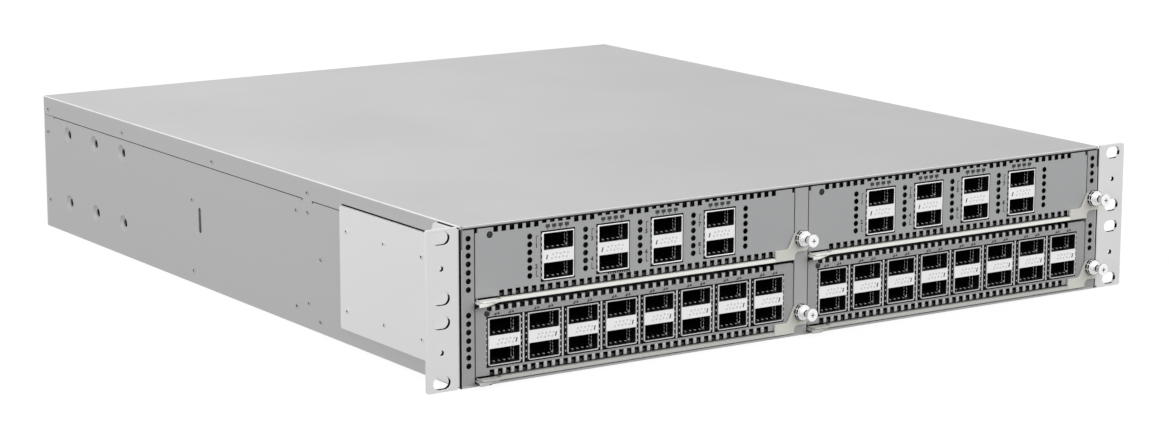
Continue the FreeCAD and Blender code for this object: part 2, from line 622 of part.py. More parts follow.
def card_tray(card):
    """Card tray with side flanges, and the ear and headed stud on which the lever turns."""
    label = card["name"] + "_tray"
    body = new_body(label, card["x"], "0", card["z"])
    half = "(tray_width / 2)"
    channel = [("-" + half, "0"), (half, "0"), (half, "tray_flange"), (half + " - gauge", "tray_flange"),
               (half + " - gauge", "gauge"), ("gauge - " + half, "gauge"), ("gauge - " + half, "tray_flange"),
               ("-" + half, "tray_flange")]
    pad(body, label + "_channel", outlines(body, label + "_ends", "XZ", [channel], "gauge"),
        "tray_length - gauge")
    under = "(lever_gauge + ear_gap - lever_drop)"
    behind = "(gauge + ear_gap)"
    step = [("-pivot_ear_ahead", under), (behind + " + ear_lap", under), (behind + " + ear_lap", "0"),
            (behind, "0"), (behind, "-ear_gap"), ("-pivot_ear_ahead", "-ear_gap")]
    pad(body, label + "_ear", outlines(body, label + "_ear_side", "YZ", [step], "-" + half), "pivot_ear_width")
    stud_end = "(-lever_drop - ear_gap)"
    stud = outlines(body, label + "_stud_plan", "XY", [polygon(6, "pivot_radius", "pivot_place", "-pivot_ahead")],
                    stud_end)
    pad(body, label + "_stud", stud, "%s - %s" % (under, stud_end))
    head = polygon(6, "pivot_head_radius", "pivot_place", "-pivot_ahead")
    pad(body, label + "_stud_head", outlines(body, label + "_head_plan", "XY", [head], stud_end + " - pivot_head"),
        "pivot_head")


def card_board(card):
    """Circuit board on its rail, with the heat sink and the plug that meets the backplane."""
    name, x, z = card["name"] + "_board", card["x"], card["z"]
    top = z + " + cage_low"
    plate = box(name + "_plate", middle(x, "board_width"), ("board_front", "board_rear"),
                (top + " - board_gauge", top))
    plug = box(name + "_plug", middle(x, "plug_width"), ("board_rear - plug_depth", "backplane_front - plug_depth"),
               (top, top + " + plug_height"))
    sink = box(name + "_sink", middle(x, "card_sink_width"),
               ("card_sink_front", "card_sink_front + card_sink_depth"), (top, top + " + card_sink_height"))
    rail = box(name + "_rail", middle(x, "rail"), ("board_front", "board_rear"),
               (z + " + gauge", top + " - board_gauge"))
    piece(fuse(name, plate, plug, sink, rail), name)


def card_cages(card):
    """Stacked port cages with two deep sockets each: single on an upper card, ganged on a lower one."""
    label, pitch, count = card["name"] + "_cages", card["cage_pitch"], card["cage_count"]
    body = new_body(label, card["x"], "0", card["z"])
    first, top = card["cage_first"], "cage_low + cage_height"
    outer = middle(first, "cage_width") if card["level"] == "upper" else card["gang"]
    shell = pad(body, label + "_shell", outlines(body, label + "_outline", "XZ",
                                                 [rectangle(*outer, "cage_low", top)], "-cage_proud"),
                "cage_depth + cage_proud")
    if card["level"] == "upper":
        row_of(body, label + "_shells", shell, "X", pitch, count)
    sockets = [rectangle(*middle(first, "socket_width"), "cage_low + " + rise, "cage_low + socket_height + " + rise)
               for rise in ("socket_low", "socket_low + socket_rise")]
    opened = pocket(body, label + "_pair", outlines(body, label + "_pair_outlines", "XZ", sockets, "-cage_proud"),
                    "socket_depth + cage_proud")
    row_of(body, label + "_sockets", opened, "X", pitch, count)


def card_lever(card):
    """Ejector lever: long strip with a finger pad at its pivot and a bracket for the captive screw."""
    label = card["name"] + "_lever"
    body = new_body(label, card["x"], "0", card["z"])
    nose, under = "(pivot_place - 4.7)", "-lever_drop"
    plan = [("lever_end", "-lever_front"), ("lever_end", "lever_back"), (nose, "lever_back"),
            (nose, "-pivot_ahead"), ("pivot_place - 7.5", "-pad_ahead"), ("pivot_place - 2.5", "-pad_ahead"),
            ("pivot_place + 9", "-lever_front")]
    pad(body, label + "_strip", outlines(body, label + "_plan", "XY", [plan], under), "lever_gauge")
    hub_x, hub_z, fold = "screw_place", "screw_level", "lever_end"
    front = [("bracket_start", under), (fold, under), (fold, "-1"), (fold + " + 2", "1.5"),
             (hub_x + " + 4.2", "1.5"), (hub_x + " + 5.2", "3.4"), (hub_x + " + 2.6", hub_z + " + 4.6"),
             (hub_x + " - 2.6", hub_z + " + 4.6"), ("bracket_start + 8.8", "bracket_band"),
             ("bracket_start", "bracket_band")]
    pad(body, label + "_bracket", outlines(body, label + "_front", "XZ", [front], "-lever_front"),
        "lever_front - lever_gap")
    eye = hexagon("screw_radius + screw_fit", hub_x, hub_z)
    pocket(body, label + "_screw_eye", outlines(body, label + "_eye", "XZ", [eye], "-lever_front"),
           "lever_front - lever_gap")
    eye = hexagon("pivot_radius + pivot_play", "pivot_place", "-pivot_ahead")
    pocket(body, label + "_pivot_eye", outlines(body, label + "_pivot", "XY", [eye], under), "lever_gauge")


def card_screw(card):
    """Captive thumbscrew: head, knurled neck, collar and shank."""
    name = card["name"] + "_thumbscrew"
    x, z = "%s + screw_place" % card["x"], "%s + screw_level" % card["z"]
    seat = "-lever_front - bearing_gap"
    head = prism(name + "_head", 8, "screw_head_radius", x, ("-screw_ahead", "screw_head - screw_ahead"), z)
    neck = prism(name + "_neck", 6, "screw_neck_radius", x, ("screw_head - screw_ahead", seat + " - screw_collar"), z)
    collar = prism(name + "_collar", 8, "screw_collar_radius", x, (seat + " - screw_collar", seat), z)
    shank = prism(name + "_shank", 6, "screw_radius", x, (seat, "screw_tip"), z)
    piece(fuse(name, head, neck, collar, shank), name)


def backplane():
    """Upright circuit board behind the cards, with an air window above each card's socket."""
    y = ("backplane_front", "backplane_front + backplane_gauge")
    plate = box("backplane_plate", middle("0", "backplane_width"), y, (FLOOR, UNDER_HEM))
    windows, sockets = [], []
    for card in CARDS:
        plug_low = card["z"] + " + cage_low"
        windows.append(box(card["name"] + "_window", middle(card["x"], "board_width - 10"), y,
                           (plug_low + " + plug_height + 4", "%s + panel_height - 3" % card["z"])))
        sockets.append(box(card["name"] + "_socket", middle(card["x"], "plug_width"),
                           ("backplane_front - plug_depth + plug_gap", "backplane_front"),
                           (plug_low, plug_low + " + plug_height")))
    piece(cut("backplane", plate, *windows), "backplane")
    group = doc.addObject("Part::Compound", "backplane_socket_group")
    group.Links = sockets
    piece(group, "backplane_sockets")


def main_board():
    """Switching board on two rails, with its finned heat sink."""
    top, across = "(main_board_level + board_gauge)", ("main_board_left", "main_board_right")
    plate = box("main_board_plate", across, ("main_board_front", "main_board_rear"), ("main_board_level", top))
    rails = [box("main_board_rail_%d" % (i + 1), across, middle(y, "rail"), (FLOOR, "main_board_level"))
             for i, y in enumerate(("main_board_front + 20", "main_board_rear - 20"))]
    piece(fuse("main_board", plate, *rails), "main_board")
    body = new_body("main_heat_sink", "-sink_width / 2", "main_board_front + 50", top)
    base = outlines(body, "sink_plan", "XY", [rectangle("0", "sink_width", "0", "sink_length")])
    pad(body, "sink_slab", base, "sink_base")
    fin = outlines(body, "fin_plan", "XY", [rectangle("0", "sink_fin", "0", "sink_length")], "sink_base")
    row_of(body, "sink_fins", pad(body, "sink_first_fin", fin, "sink_height - sink_base"), "X",
           "sink_fin_pitch", "sink_fin_count")


def rear_panel():
    """Rear wall with a window for each module."""
    y = ("%s - gauge" % REAR, REAR)
    plate = box("rear_plate", ("-" + INNER, INNER), y, (FLOOR, ROOF))
    windows = [box("fan_window_%d" % (i + 1), middle(fan_x(i), "fan_width + 2 * bay_gap"), y,
                   middle("0", "fan_height + 2 * bay_gap")) for i in range(3)]
    windows.append(box("supply_window", middle("supply_centre", "supply_width + 2 * bay_gap"), y,
                       (supply_z(0) + " - bay_gap", supply_z(1) + " + supply_height + bay_gap")))
    windows.append(box("module_window", middle("module_centre", "module_width + 2 * bay_gap"), y,
                       middle("0", "module_height + 2 * bay_gap")))
    plate = cut("rear_panel", plate, *windows)
    piece(plate, "rear_panel")


def fan_x(index):
    return "fan_middle + %d * fan_pitch" % (index - 1)


def supply_z(index):
    """Underside of a power supply; the two are stacked with a gap between them."""
    return "(%d * supply_height + %g * bay_gap - supply_height)" % (index, 2 * index - 1)


def fan_module(index):
    """Fan module: square duct with guard bars, motor struts and a grip; its rotor; its latch."""
    label = "fan_%d" % (index + 1)
    x = fan_x(index)
    front = "chassis_depth - fan_length"
    inside_x, inside_z = "(fan_width - 2 * fan_wall)", "(fan_height - 2 * fan_wall)"
    duct = cut(label + "_duct",
               box(label + "_block", middle(x, "fan_width"), (front, REAR), middle("0", "fan_height")),
               box(label + "_bore", middle(x, inside_x), (front, REAR), middle("0", inside_z)))
    bars = [box("%s_bar_%d" % (label, i + 3), middle(x, inside_x), (REAR + " - fan_bar", REAR),
                middle("%d * fan_bar_pitch" % i, "fan_bar")) for i in (-2, 2)]
    strut = box(label + "_strut", middle(x, "strut_width"), (front, front + " + strut_gauge"), middle("0", inside_z))
    grip_y, span = (REAR, REAR + " + grip_reach"), "4 * fan_bar_pitch + fan_bar"
    grip = cut(label + "_grip",
               box(label + "_grip_block", middle(x, "4 * grip_gauge"), grip_y, middle("0", span)),
               box(label + "_grip_hole", middle(x, "4 * grip_gauge"), (REAR, grip_y[1] + " - grip_gauge"),
                   middle("0", span + " - 2 * grip_gauge")))
    piece(fuse(label, duct, strut, grip, *bars), label + "_frame")

    body = new_body(label + "_rotor", x, front + " + strut_gauge + bearing_gap", "0")
    hub = outlines(body, label + "_hub_outline", "XZ", [polygon(8, "hub_radius", "0", "0")])
    pad(body, label + "_hub", hub, "hub_depth")
    blade = [("hub_radius - 2", "2"), ("blade_reach", "6"), ("blade_reach", "6 + blade_gauge"),
             ("hub_radius - 2", "2 + blade_gauge")]
    sketch = outlines(body, label + "_blade_outline", "XZ", [blade], "2")
    ring_of(body, label + "_blades", pad(body, label + "_blade", sketch, "hub_depth - 4"), "blade_count")

    side = "%s + fan_width / 2" % x
    piece(box(label + "_latch_tab", (side + " - fan_latch_width", side),
              (REAR + " + bearing_gap", REAR + " + fan_latch_reach"), middle("0", "fan_latch_height")),
          label + "_latch")


def power_supply(index):
    """Power supply: case with grille and mains inlet, handle, latch and fan rotor."""
    label = "supply_%d" % (index + 1)
    z, left = supply_z(index), "supply_centre - supply_width / 2"
    front, centre_z = "chassis_depth - supply_length", z + " + supply_height / 2"
    grille_x = "(%s + 3.5 + supply_grille / 2)" % left
    inlet_x = "(%s + supply_width - 9 - inlet_width / 2)" % left
    block = box(label + "_block", middle("supply_centre", "supply_width"), (front, REAR),
                (z, z + " + supply_height"))
    grille = box(label + "_grille", middle(grille_x, "supply_grille"), (REAR + " - supply_grille_depth", REAR),
                 middle(centre_z, "supply_grille"))
    inlet = box(label + "_inlet", middle(inlet_x, "inlet_width"), (REAR + " - inlet_depth", REAR),
                middle(centre_z, "inlet_height"))
    bars = [box("%s_bar_%d" % (label, i), middle(grille_x, "supply_grille"), (REAR + " - fan_bar / 2", REAR),
                middle("%s + %d * supply_grille / 6" % (centre_z, i), "fan_bar / 2")) for i in (-1, 1)]
    piece(fuse(label, cut(label, block, grille, inlet), *bars), label + "_housing")

    grip_x = "(%s + supply_grille + 3.5 + grip_gauge)" % left
    grip_y = (REAR, REAR + " + supply_grip_reach")
    piece(cut(label + "_grip",
              box(label + "_grip_block", middle(grip_x, "grip_gauge"), grip_y, middle(centre_z, "supply_grip_span")),
              box(label + "_grip_hole", middle(grip_x, "grip_gauge"), (REAR, grip_y[1] + " - grip_gauge"),
                  middle(centre_z, "supply_grip_span - 2 * grip_gauge"))), label + "_handle")

    side = "%s + supply_width" % left
    piece(box(label + "_latch_tab", (side + " - 2 - supply_latch_width", side + " - 2"),
              (REAR + " + bearing_gap", REAR + " + supply_latch_reach"), middle(centre_z, "supply_latch_height")),
          label + "_latch")

    body = new_body(label + "_rotor", grille_x, REAR + " - supply_grille_depth + bearing_gap", centre_z)
    hub = outlines(body, label + "_hub_outline", "XZ", [polygon(6, "supply_rotor_hub", "0", "0")])
    depth = "supply_grille_depth - fan_bar / 2 - 2 * running_gap - 1"
    pad(body, label + "_hub", hub, depth)
    blade = [("supply_rotor_hub / 2", "1"), ("supply_rotor_radius", "2.6"), ("supply_rotor_radius", "3.8"),
             ("supply_rotor_hub / 2", "2.2")]
    sketch = outlines(body, label + "_blade_outline", "XZ", [blade], "1")
    ring_of(body, label + "_blades", pad(body, label + "_blade", sketch, depth + " - 2"), "blade_count")


def management_module():
    """Management module with two network jacks."""
    block = box("module_block", middle("module_centre", "module_width"), ("chassis_depth - module_length", REAR),
                middle("0", "module_height"))
    jacks = [box("module_jack_%d" % (i + 1), middle("module_centre", "jack_width"), (REAR + " - jack_depth", REAR),
                 middle("%d * jack_pitch" % i, "jack_height")) for i in (0, 1)]
    piece(cut("module", block, *jacks), "management_module")


CARDS = [{"name": "%s_%s_card" % (level, side), "level": level,
          "x": "bay_centre" if side == "right" else "-bay_centre", "z": level + "_card_level",
          "cage_first": "-%s_cage_pitch * (%s_cage_count - 1) / 2" % (level, level),
          "cage_pitch": level + "_cage_pitch", "cage_count": level + "_cage_count",
          "gang": middle("0", "lower_cage_pitch * (lower_cage_count - 1) + cage_width")}
         for level in ("upper", "lower") for side in ("left", "right")]

chassis_tray()
top_cover()
for side, sign in (("left", -1), ("right", 1)):
    front_post(side, sign)
    card_guide(side, sign)
    rack_ear(side, sign)
centre_divider()
backplane()
main_board()
rear_panel()
management_module()
for card in CARDS:
    card_panel(card)
    card_tray(card)
    card_board(card)
    card_cages(card)
    card_lever(card)
    card_screw(card)
for index in range(3):
    fan_module(index)
for index in range(2):
    power_supply(index)

doc.recompute()
faults = [thing.Name for thing in doc.Objects if {"Invalid", "Error"} & set(thing.State)]
faults += [thing.Label for thing in pieces if thing.Shape.isNull() or not thing.Shape.isValid()]
if faults:
    raise RuntimeError("not built: " + ", ".join(faults))

os.makedirs("parts", exist_ok=True)
for thing in pieces:
    thing.Shape.exportStep("parts/%s.step" % thing.Label)
    print("%-28s %2d solids %10.1f mm3" % (thing.Label, len(thing.Shape.Solids), thing.Shape.Volume))
print(len(pieces), "nodes")
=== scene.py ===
"""Looks of the modular chassis switch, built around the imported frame.

Sizes are in millimetres: X right, Y rearwards, Z up, from the middle of the rack slots.
Only the lamps and the floor are placed in metres."""
import math

import bpy
from mathutils import Matrix, Vector


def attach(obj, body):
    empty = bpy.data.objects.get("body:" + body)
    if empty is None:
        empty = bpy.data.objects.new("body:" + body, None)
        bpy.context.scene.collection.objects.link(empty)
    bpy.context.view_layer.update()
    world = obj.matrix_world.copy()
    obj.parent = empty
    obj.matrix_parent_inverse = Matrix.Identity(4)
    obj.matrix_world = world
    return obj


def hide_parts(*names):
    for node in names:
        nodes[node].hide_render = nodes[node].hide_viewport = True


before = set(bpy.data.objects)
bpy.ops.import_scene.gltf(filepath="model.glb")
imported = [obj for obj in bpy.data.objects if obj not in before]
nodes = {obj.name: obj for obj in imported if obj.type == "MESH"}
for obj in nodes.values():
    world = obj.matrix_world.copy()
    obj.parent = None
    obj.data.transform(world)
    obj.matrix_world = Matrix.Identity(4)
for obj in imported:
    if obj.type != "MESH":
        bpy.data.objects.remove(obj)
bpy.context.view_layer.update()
MM = 0.001

SIDES = (("left", -1), ("right", 1))
CARD_X, CARD_Z = 108.55, {"upper": 3.75, "lower": -38.05}
CARDS = [(level + "_" + side, level, way * CARD_X, foot)
         for level, foot in CARD_Z.items() for side, way in SIDES]

LENS, SENSOR = 94.648, 36.0
CAMERA_AT = (-1024.2, -1323.7, 353.2)
CAMERA_TURN, CAMERA_DROP, CAMERA_ROLL = -33.614, 11.199, 0.053
FLOOR_SIZE, FLOOR_AT = 14.0, (0, 0.26, -0.0431)
FLOOR_TONE, FLOOR_GLOW = (0.14, 0.14, 0.14, 1), 0.9
WHITE = (1, 1, 1, 1)
WORLD = 0.42
# name, place, target, width and height, watts
LAMPS = [("top_lamp", (1.0, 0.5, 2.4), (0, 0.25, 0), (3.2, 3.2), 11),
         ("front_lamp", (0.3, -2.6, 1.1), (0, 0, 0), (3.0, 1.8), 57),
         ("side_lamp", (-2.7, 0.2, 0.65), (-0.2, 0.2, 0), (2.4, 1.6), 46),
         ("back_lamp", (0.3, 2.8, 1.7), (0, 0.4, 0), (2.8, 1.2), 18)]


# ---- shader nodes ----

def feed(tree, node, inputs):
    """Sets each input of a node, given by name or number, to a value or to the socket that feeds it."""
    for key, value in inputs.items():
        if isinstance(value, bpy.types.NodeSocket):
            tree.links.new(value, node.inputs[key])
        else:
            node.inputs[key].default_value = value


def add(tree, kind, inputs=None, operation=None):
    """Puts a new shader node with these inputs into a tree, and gives its outputs."""
    node = tree.nodes.new("ShaderNode" + kind)
    if operation:
        node.operation = operation
    feed(tree, node, inputs or {})
    return node.outputs


def new_material(name):
    material = bpy.data.materials.new(name)
    material.use_nodes = True
    material.node_tree.nodes.clear()
    return material, material.node_tree


# ---- camera, backdrop and lamps ----

def place_camera():
    data = bpy.data.cameras.new("camera")
    data.lens, data.sensor_width = LENS, SENSOR
    data.clip_start, data.clip_end = 0.05, 50.0
    camera = bpy.data.objects.new("camera", data)
    bpy.context.scene.collection.objects.link(camera)
    turn = (Matrix.Rotation(math.radians(CAMERA_TURN), 4, "Z")
            @ Matrix.Rotation(math.radians(90 - CAMERA_DROP), 4, "X")
            @ Matrix.Rotation(math.radians(CAMERA_ROLL), 4, "Z"))
    camera.matrix_world = Matrix.Translation(Vector(CAMERA_AT) * MM) @ turn
    bpy.context.scene.camera = camera


def seen_rays(tree):
    """One for rays from the camera, mirrors and glass, nothing for the light that falls on the object."""
    rays = add(tree, "LightPath")
    direct = add(tree, "Math", {0: rays["Is Camera Ray"], 1: rays["Is Transmission Ray"]}, "MAXIMUM")
    return add(tree, "Math", {0: direct[0], 1: rays["Is Glossy Ray"]}, "MAXIMUM")[0]


def lay_floor():
    """Floor that looks white and throws back little light."""
    bpy.ops.mesh.primitive_plane_add(size=FLOOR_SIZE, location=FLOOR_AT)
    floor = bpy.context.object
    floor.name = "studio_floor"
    material, tree = new_material("studio_floor")
    strength = add(tree, "Math", {0: seen_rays(tree), 1: FLOOR_GLOW}, "MULTIPLY")[0]
    matt = add(tree, "BsdfDiffuse", {"Color": FLOOR_TONE})[0]
    glow = add(tree, "Emission", {"Color": WHITE, "Strength": strength})[0]
    add(tree, "OutputMaterial", {"Surface": add(tree, "AddShader", {0: matt, 1: glow})[0]})
    floor.data.materials.append(material)


def light_world():
    """Surroundings that look white and give a soft light."""
    world = bpy.data.worlds.new("studio")
    bpy.context.scene.world = world
    world.use_nodes = True
    tree = world.node_tree
    tree.nodes.clear()
    soft = add(tree, "Background", {"Color": WHITE, "Strength": WORLD})[0]
    white = add(tree, "Background", {"Color": WHITE, "Strength": 1.0})[0]
    mix = add(tree, "MixShader", {0: seen_rays(tree), 1: soft, 2: white})[0]
    add(tree, "OutputWorld", {"Surface": mix})


def hang_lamp(name, place, target, size, watts):
    data = bpy.data.lights.new(name, "AREA")
    data.shape, data.size, data.size_y, data.energy = "RECTANGLE", size[0], size[1], watts
    lamp = bpy.data.objects.new(name, data)
    bpy.context.scene.collection.objects.link(lamp)
    lamp.location = place
    lamp.rotation_mode = "QUATERNION"
    lamp.rotation_quaternion = (Vector(target) - Vector(place)).to_track_quat("-Z", "Y")


place_camera()
lay_floor()
light_world()
for lamp in LAMPS:
    hang_lamp(*lamp)
bpy.context.scene.view_settings.view_transform = "Standard"


# ---- shared effects ----

MIDDLE = (0.3, 0.7)  # the range that a noise mostly stays in


def effect(name, inputs):
    """Node group with these inputs that gives colour, roughness and height: its tree, inputs and end."""
    group = bpy.data.node_groups.new(name, "ShaderNodeTree")
    for label, kind, value in inputs:
        socket = group.interface.new_socket(label, in_out="INPUT", socket_type="NodeSocket" + kind)
        socket.default_value = value
    for label, kind in (("Color", "Color"), ("Roughness", "Float"), ("Height", "Float")):
        group.interface.new_socket(label, in_out="OUTPUT", socket_type="NodeSocket" + kind)
    return group, group.nodes.new("NodeGroupInput").outputs, group.nodes.new("NodeGroupOutput")


def noise(tree, where, scale, detail):
    return add(tree, "TexNoise", {"Vector": where, "Scale": scale, "Detail": detail})[0]


def remap(tree, value, source, target):
    """Brings a value from one range into another."""
    return add(tree, "MapRange", {"Value": value, "From Min": source[0], "From Max": source[1],
                                  "To Min": target[0], "To Max": target[1]})[0]


def end_effect(tree, given, end, tone, gloss, height):
    """Ends an effect: the given colour times tone, the given roughness plus gloss, and a height."""
    tint = add(tree, "VectorMath", {0: given["Colour"], "Scale": tone}, "SCALE")[0]
    rough = add(tree, "Math", {0: given["Rough"], 1: gloss}, "ADD")[0]
    feed(tree, end, {"Color": tint, "Roughness": rough, "Height": height})


def coat_effect():
    """Sprayed powder coat: fine orange peel, a slow drift of tone, and faint rub marks."""
    tree, given, end = effect("powder_coat", [
        ("Colour", "Color", (0.5, 0.5, 0.5, 1)), ("Drift", "Float", 0.04), ("Grain", "Float", 2600.0),
        ("Rough", "Float", 0.5)])
    where = add(tree, "TexCoord")["Object"]
    slow, fine = noise(tree, where, 9.0, 3.0), noise(tree, where, given["Grain"], 2.0)
    both = add(tree, "Mix", {0: 0.45, 2: slow, 3: fine})[0]
    low = add(tree, "Math", {0: 1.0, 1: given["Drift"]}, "SUBTRACT")[0]
    high = add(tree, "Math", {0: 1.0, 1: given["Drift"]}, "ADD")[0]
    tone, gloss = remap(tree, both, MIDDLE, (low, high)), remap(tree, slow, MIDDLE, (-0.07, 0.07))
    end_effect(tree, given, end, tone, gloss, fine)
    return tree


def rolled_effect():
    """Rolled or plated metal: long fine streaks along one way, cloudy tone and uneven gloss."""
    tree, given, end = effect("rolled_metal", [
        ("Colour", "Color", (0.7, 0.7, 0.7, 1)), ("Drift", "Float", 0.08), ("Rough", "Float", 0.35),
        ("Stretch", "Vector", (40.0, 900.0, 900.0))])
    where = add(tree, "TexCoord")["Object"]
    spread = add(tree, "VectorMath", {0: where, 1: given["Stretch"]}, "MULTIPLY")[0]
    streak, cloud = noise(tree, spread, 1.0, 3.0), noise(tree, where, 30.0, 4.0)
    both = add(tree, "Mix", {0: 0.5, 2: cloud, 3: streak})[0]
    low = add(tree, "Math", {0: 1.0, 1: given["Drift"]}, "SUBTRACT")[0]
    tone, gloss = remap(tree, both, MIDDLE, (low, 1.0)), remap(tree, streak, (0.0, 1.0), (-0.12, 0.12))
    end_effect(tree, given, end, tone, gloss, streak)
    return tree


COAT, ROLLED = coat_effect(), rolled_effect()


def finish(name, group, values, bump, metal=0.0, specular=0.5):
    """Material that feeds one shared effect to a Principled shader; bump is (strength, depth)."""
    material, tree = new_material(name)
    node = tree.nodes.new("ShaderNodeGroup")
    node.node_tree = group
    feed(tree, node, values)
    surface, (strength, depth) = node.outputs, bump
    raised = add(tree, "Bump", {
        "Strength": strength, "Distance": depth * MM, "Height": surface["Height"]})
    shader = add(tree, "BsdfPrincipled", {
        "Base Color": surface["Color"], "Roughness": surface["Roughness"], "Normal": raised[0],
        "Metallic": metal, "Specular IOR Level": specular})
    add(tree, "OutputMaterial", {"Surface": shader[0]})
    return material


def grey(level, warm=0.0):
    return (level * (1 + warm), level, level * (1 - warm), 1)


def paint(name, colour, rough=0.5, drift=0.03, grain=2600.0, depth=0.02, specular=0.5):
    values = {"Colour": colour, "Drift": drift, "Grain": grain, "Rough": rough}
    return finish(name, COAT, values, (0.35, depth), specular=specular)


def metal(name, colour, rough=0.35, drift=0.08, stretch=(40.0, 900.0, 900.0), share=1.0):
    values = {"Colour": colour, "Drift": drift, "Rough": rough, "Stretch": stretch}
    return finish(name, ROLLED, values, (0.25, 0.01), metal=share)


LOOKS = {
    "cover_paint": paint("cover_paint", grey(0.45), 0.46),
    "body_paint": paint("body_paint", grey(0.45), 0.48),
    "ear_paint": paint("ear_paint", grey(0.76), 0.42, 0.02),
    "post_paint": paint("post_paint", grey(0.33), 0.5),
    "panel_paint": paint("panel_paint", grey(0.375, -0.012), 0.5),
    "lever_paint": paint("lever_paint", (0.65, 0.65, 0.597, 1), 0.4, 0.02),
    "plated_steel": metal("plated_steel", grey(0.5), 0.38, share=0.9),
    "screw_steel": metal("screw_steel", grey(0.93), 0.3, 0.04, (300.0, 300.0, 300.0), share=0.55),
    "cage_steel": metal("cage_steel", grey(0.9), 0.34, 0.05, share=0.3),
    "board_laminate": paint("board_laminate", (0.02, 0.07, 0.035, 1), 0.35, 0.1, 1200.0),
    "sink_aluminium": metal("sink_aluminium", grey(0.6), 0.36),
    "connector_plastic": paint("connector_plastic", grey(0.012), 0.45, 0.1, 3000.0, 0.01),
    "fan_plastic": paint("fan_plastic", grey(0.02), 0.42, 0.1, 2000.0),
    "latch_plastic": paint("latch_plastic", (0.30, 0.05, 0.035, 1), 0.42, 0.06, 2000.0),
    "grip_paint": paint("grip_paint", grey(0.05), 0.42, 0.08, 2000.0),
}
# Near-black port liners: painted shade for the depth inside the cages, whose real walls are bright metal.
PORT_SHADE = metal("socket_nickel", grey(0.03), 0.25, 0.3, (200.0, 200.0, 200.0), share=0.7)
# Darker copy of the cage steel: painted shade on the lower cages and the spring fingers.
SHADED_CAGE_STEEL = metal("dull_cage_steel", grey(0.55), 0.4, 0.1, share=0.3)
TOOTH = metal("finger_steel", grey(0.45), 0.4, 0.08, share=0.2)
# Near-white springs, contacts and tongues in the ports: real parts, their near-white partly a painted
# highlight, and on the tongues a painted sheen.
SPRING_HIGHLIGHT = paint("spring_steel", grey(0.98), 0.3, 0.04)
# Grey plates deep in the ports: painted reflection on the inner walls.
REFLECTION_PAINT = paint("sheen_plastic", grey(0.3), 0.25, 0.3)
BAND = paint("band_white", grey(0.92), 0.4, 0.02)
# Lever strips: lit and shaded copies of the lever paint, painted light on the upper cards and painted
# shade on the lower ones.
LIT_STRIP = paint("strip_white", (0.9, 0.9, 0.855, 1), 0.4, 0.02, depth=0.003)
SHADED_STRIP = paint("strip_grey", (0.52, 0.52, 0.495, 1), 0.4, 0.02, depth=0.003)
# Darker copy of the panel paint for the lower cards: painted shade.
SHADED_PANEL = paint("low_panel_paint", grey(0.325, -0.005), 0.5)
# Light grey strips along the lid's bends and hem: painted highlight.
EDGE_HIGHLIGHT = paint("worn_edge", grey(0.85), 0.35, 0.02)
# Light grey strips on the side walls' rear edges: painted highlight.
REAR_HIGHLIGHT = paint("pale_edge", grey(0.6), 0.4, 0.02)
INK = paint("ink", grey(0.012), 0.6, 0.1)
FAINT_INK = paint("faint_ink", grey(0.42), 0.6, 0.1)
# Near black: painted shade in gaps, holes, notches, seams and recesses.
SHADE = paint("blackened_edge", grey(0.004), 0.8, 0.1, specular=0.05)
LAMP_LENS = paint("lamp_lens", grey(0.025), 0.5, 0.1, specular=0.2)

for node in nodes.values():
    for index, held in enumerate(list(node.data.materials)):
        slot_name = held.name.split(".")[0]
        node.data.materials[index] = next(look for key, look in LOOKS.items() if slot_name.endswith(key))
# Card trays near black: painted shade, so the bottoms of the face notches read as shadow.
for card, *_ in CARDS:
    nodes[card + "_card_tray"].data.materials[0] = paint(card + "_tray_coat", grey(0.03), 0.5)
nodes["centre_divider"].data.materials[0] = paint("divider_paint", grey(0.38), 0.5)


# ---- outlines: loops of points ----

def arc(x, z, radius, turns):
    """Points about x, z at the given angles in degrees."""
    return [(x + radius * math.cos(math.radians(turn)), z + radius * math.sin(math.radians(turn)))
            for turn in turns]


def sweep(first, last, steps):
    """Angles from first to last in equal steps."""
    return [first + (last - first) * n / steps for n in range(steps + 1)]


def ring(x, z, radius, sides=20):
    return arc(x, z, radius, [360 * n / sides for n in range(sides)])


def slot_loop(x, z, length, radius, sides=10):
    """Round-ended slot lying along the first axis."""
    reach = length / 2 - radius
    right = arc(x + reach, z, radius, sweep(-90, 90, sides))
    return right + arc(x - reach, z, radius, sweep(90, 270, sides))


def crescent(x, z, length, radius, first, last, wall=0.09, steps=12):
    """Part of the lining of a round-ended slot, between two angles in degrees."""
    reach = length / 2 - radius
    outer, inner = [], []
    for turn in sweep(first, last, steps):
        middle = x + math.copysign(reach, math.cos(math.radians(turn)))
        outer += arc(middle, z, radius, [turn])
        inner += arc(middle, z, radius - wall, [turn])
    return outer + inner[::-1]


def rect(x0, x1, z0, z1):
    return [(x0, z0), (x1, z0), (x1, z1), (x0, z1)]


def for_each(corners, radii):
    """Pairs every corner with its radius: radii is one for all, or a list of them."""
    return zip(corners, radii if isinstance(radii, list) else [radii] * len(corners))


def soft_rect(x0, x1, z0, z1, radii, steps=3):
    """Rectangle with rounded corners, anticlockwise from bottom left."""
    corners = [(x0, z0, 1, 1, 180), (x1, z0, -1, 1, 270), (x1, z1, -1, -1, 0), (x0, z1, 1, -1, 90)]
    loop = []
    for (x, z, sx, sz, first), radius in for_each(corners, radii):
        turns = sweep(first, first + 90, steps) if radius else [first]
        loop += arc(x + sx * radius, z + sz * radius, radius, turns)
    return loop


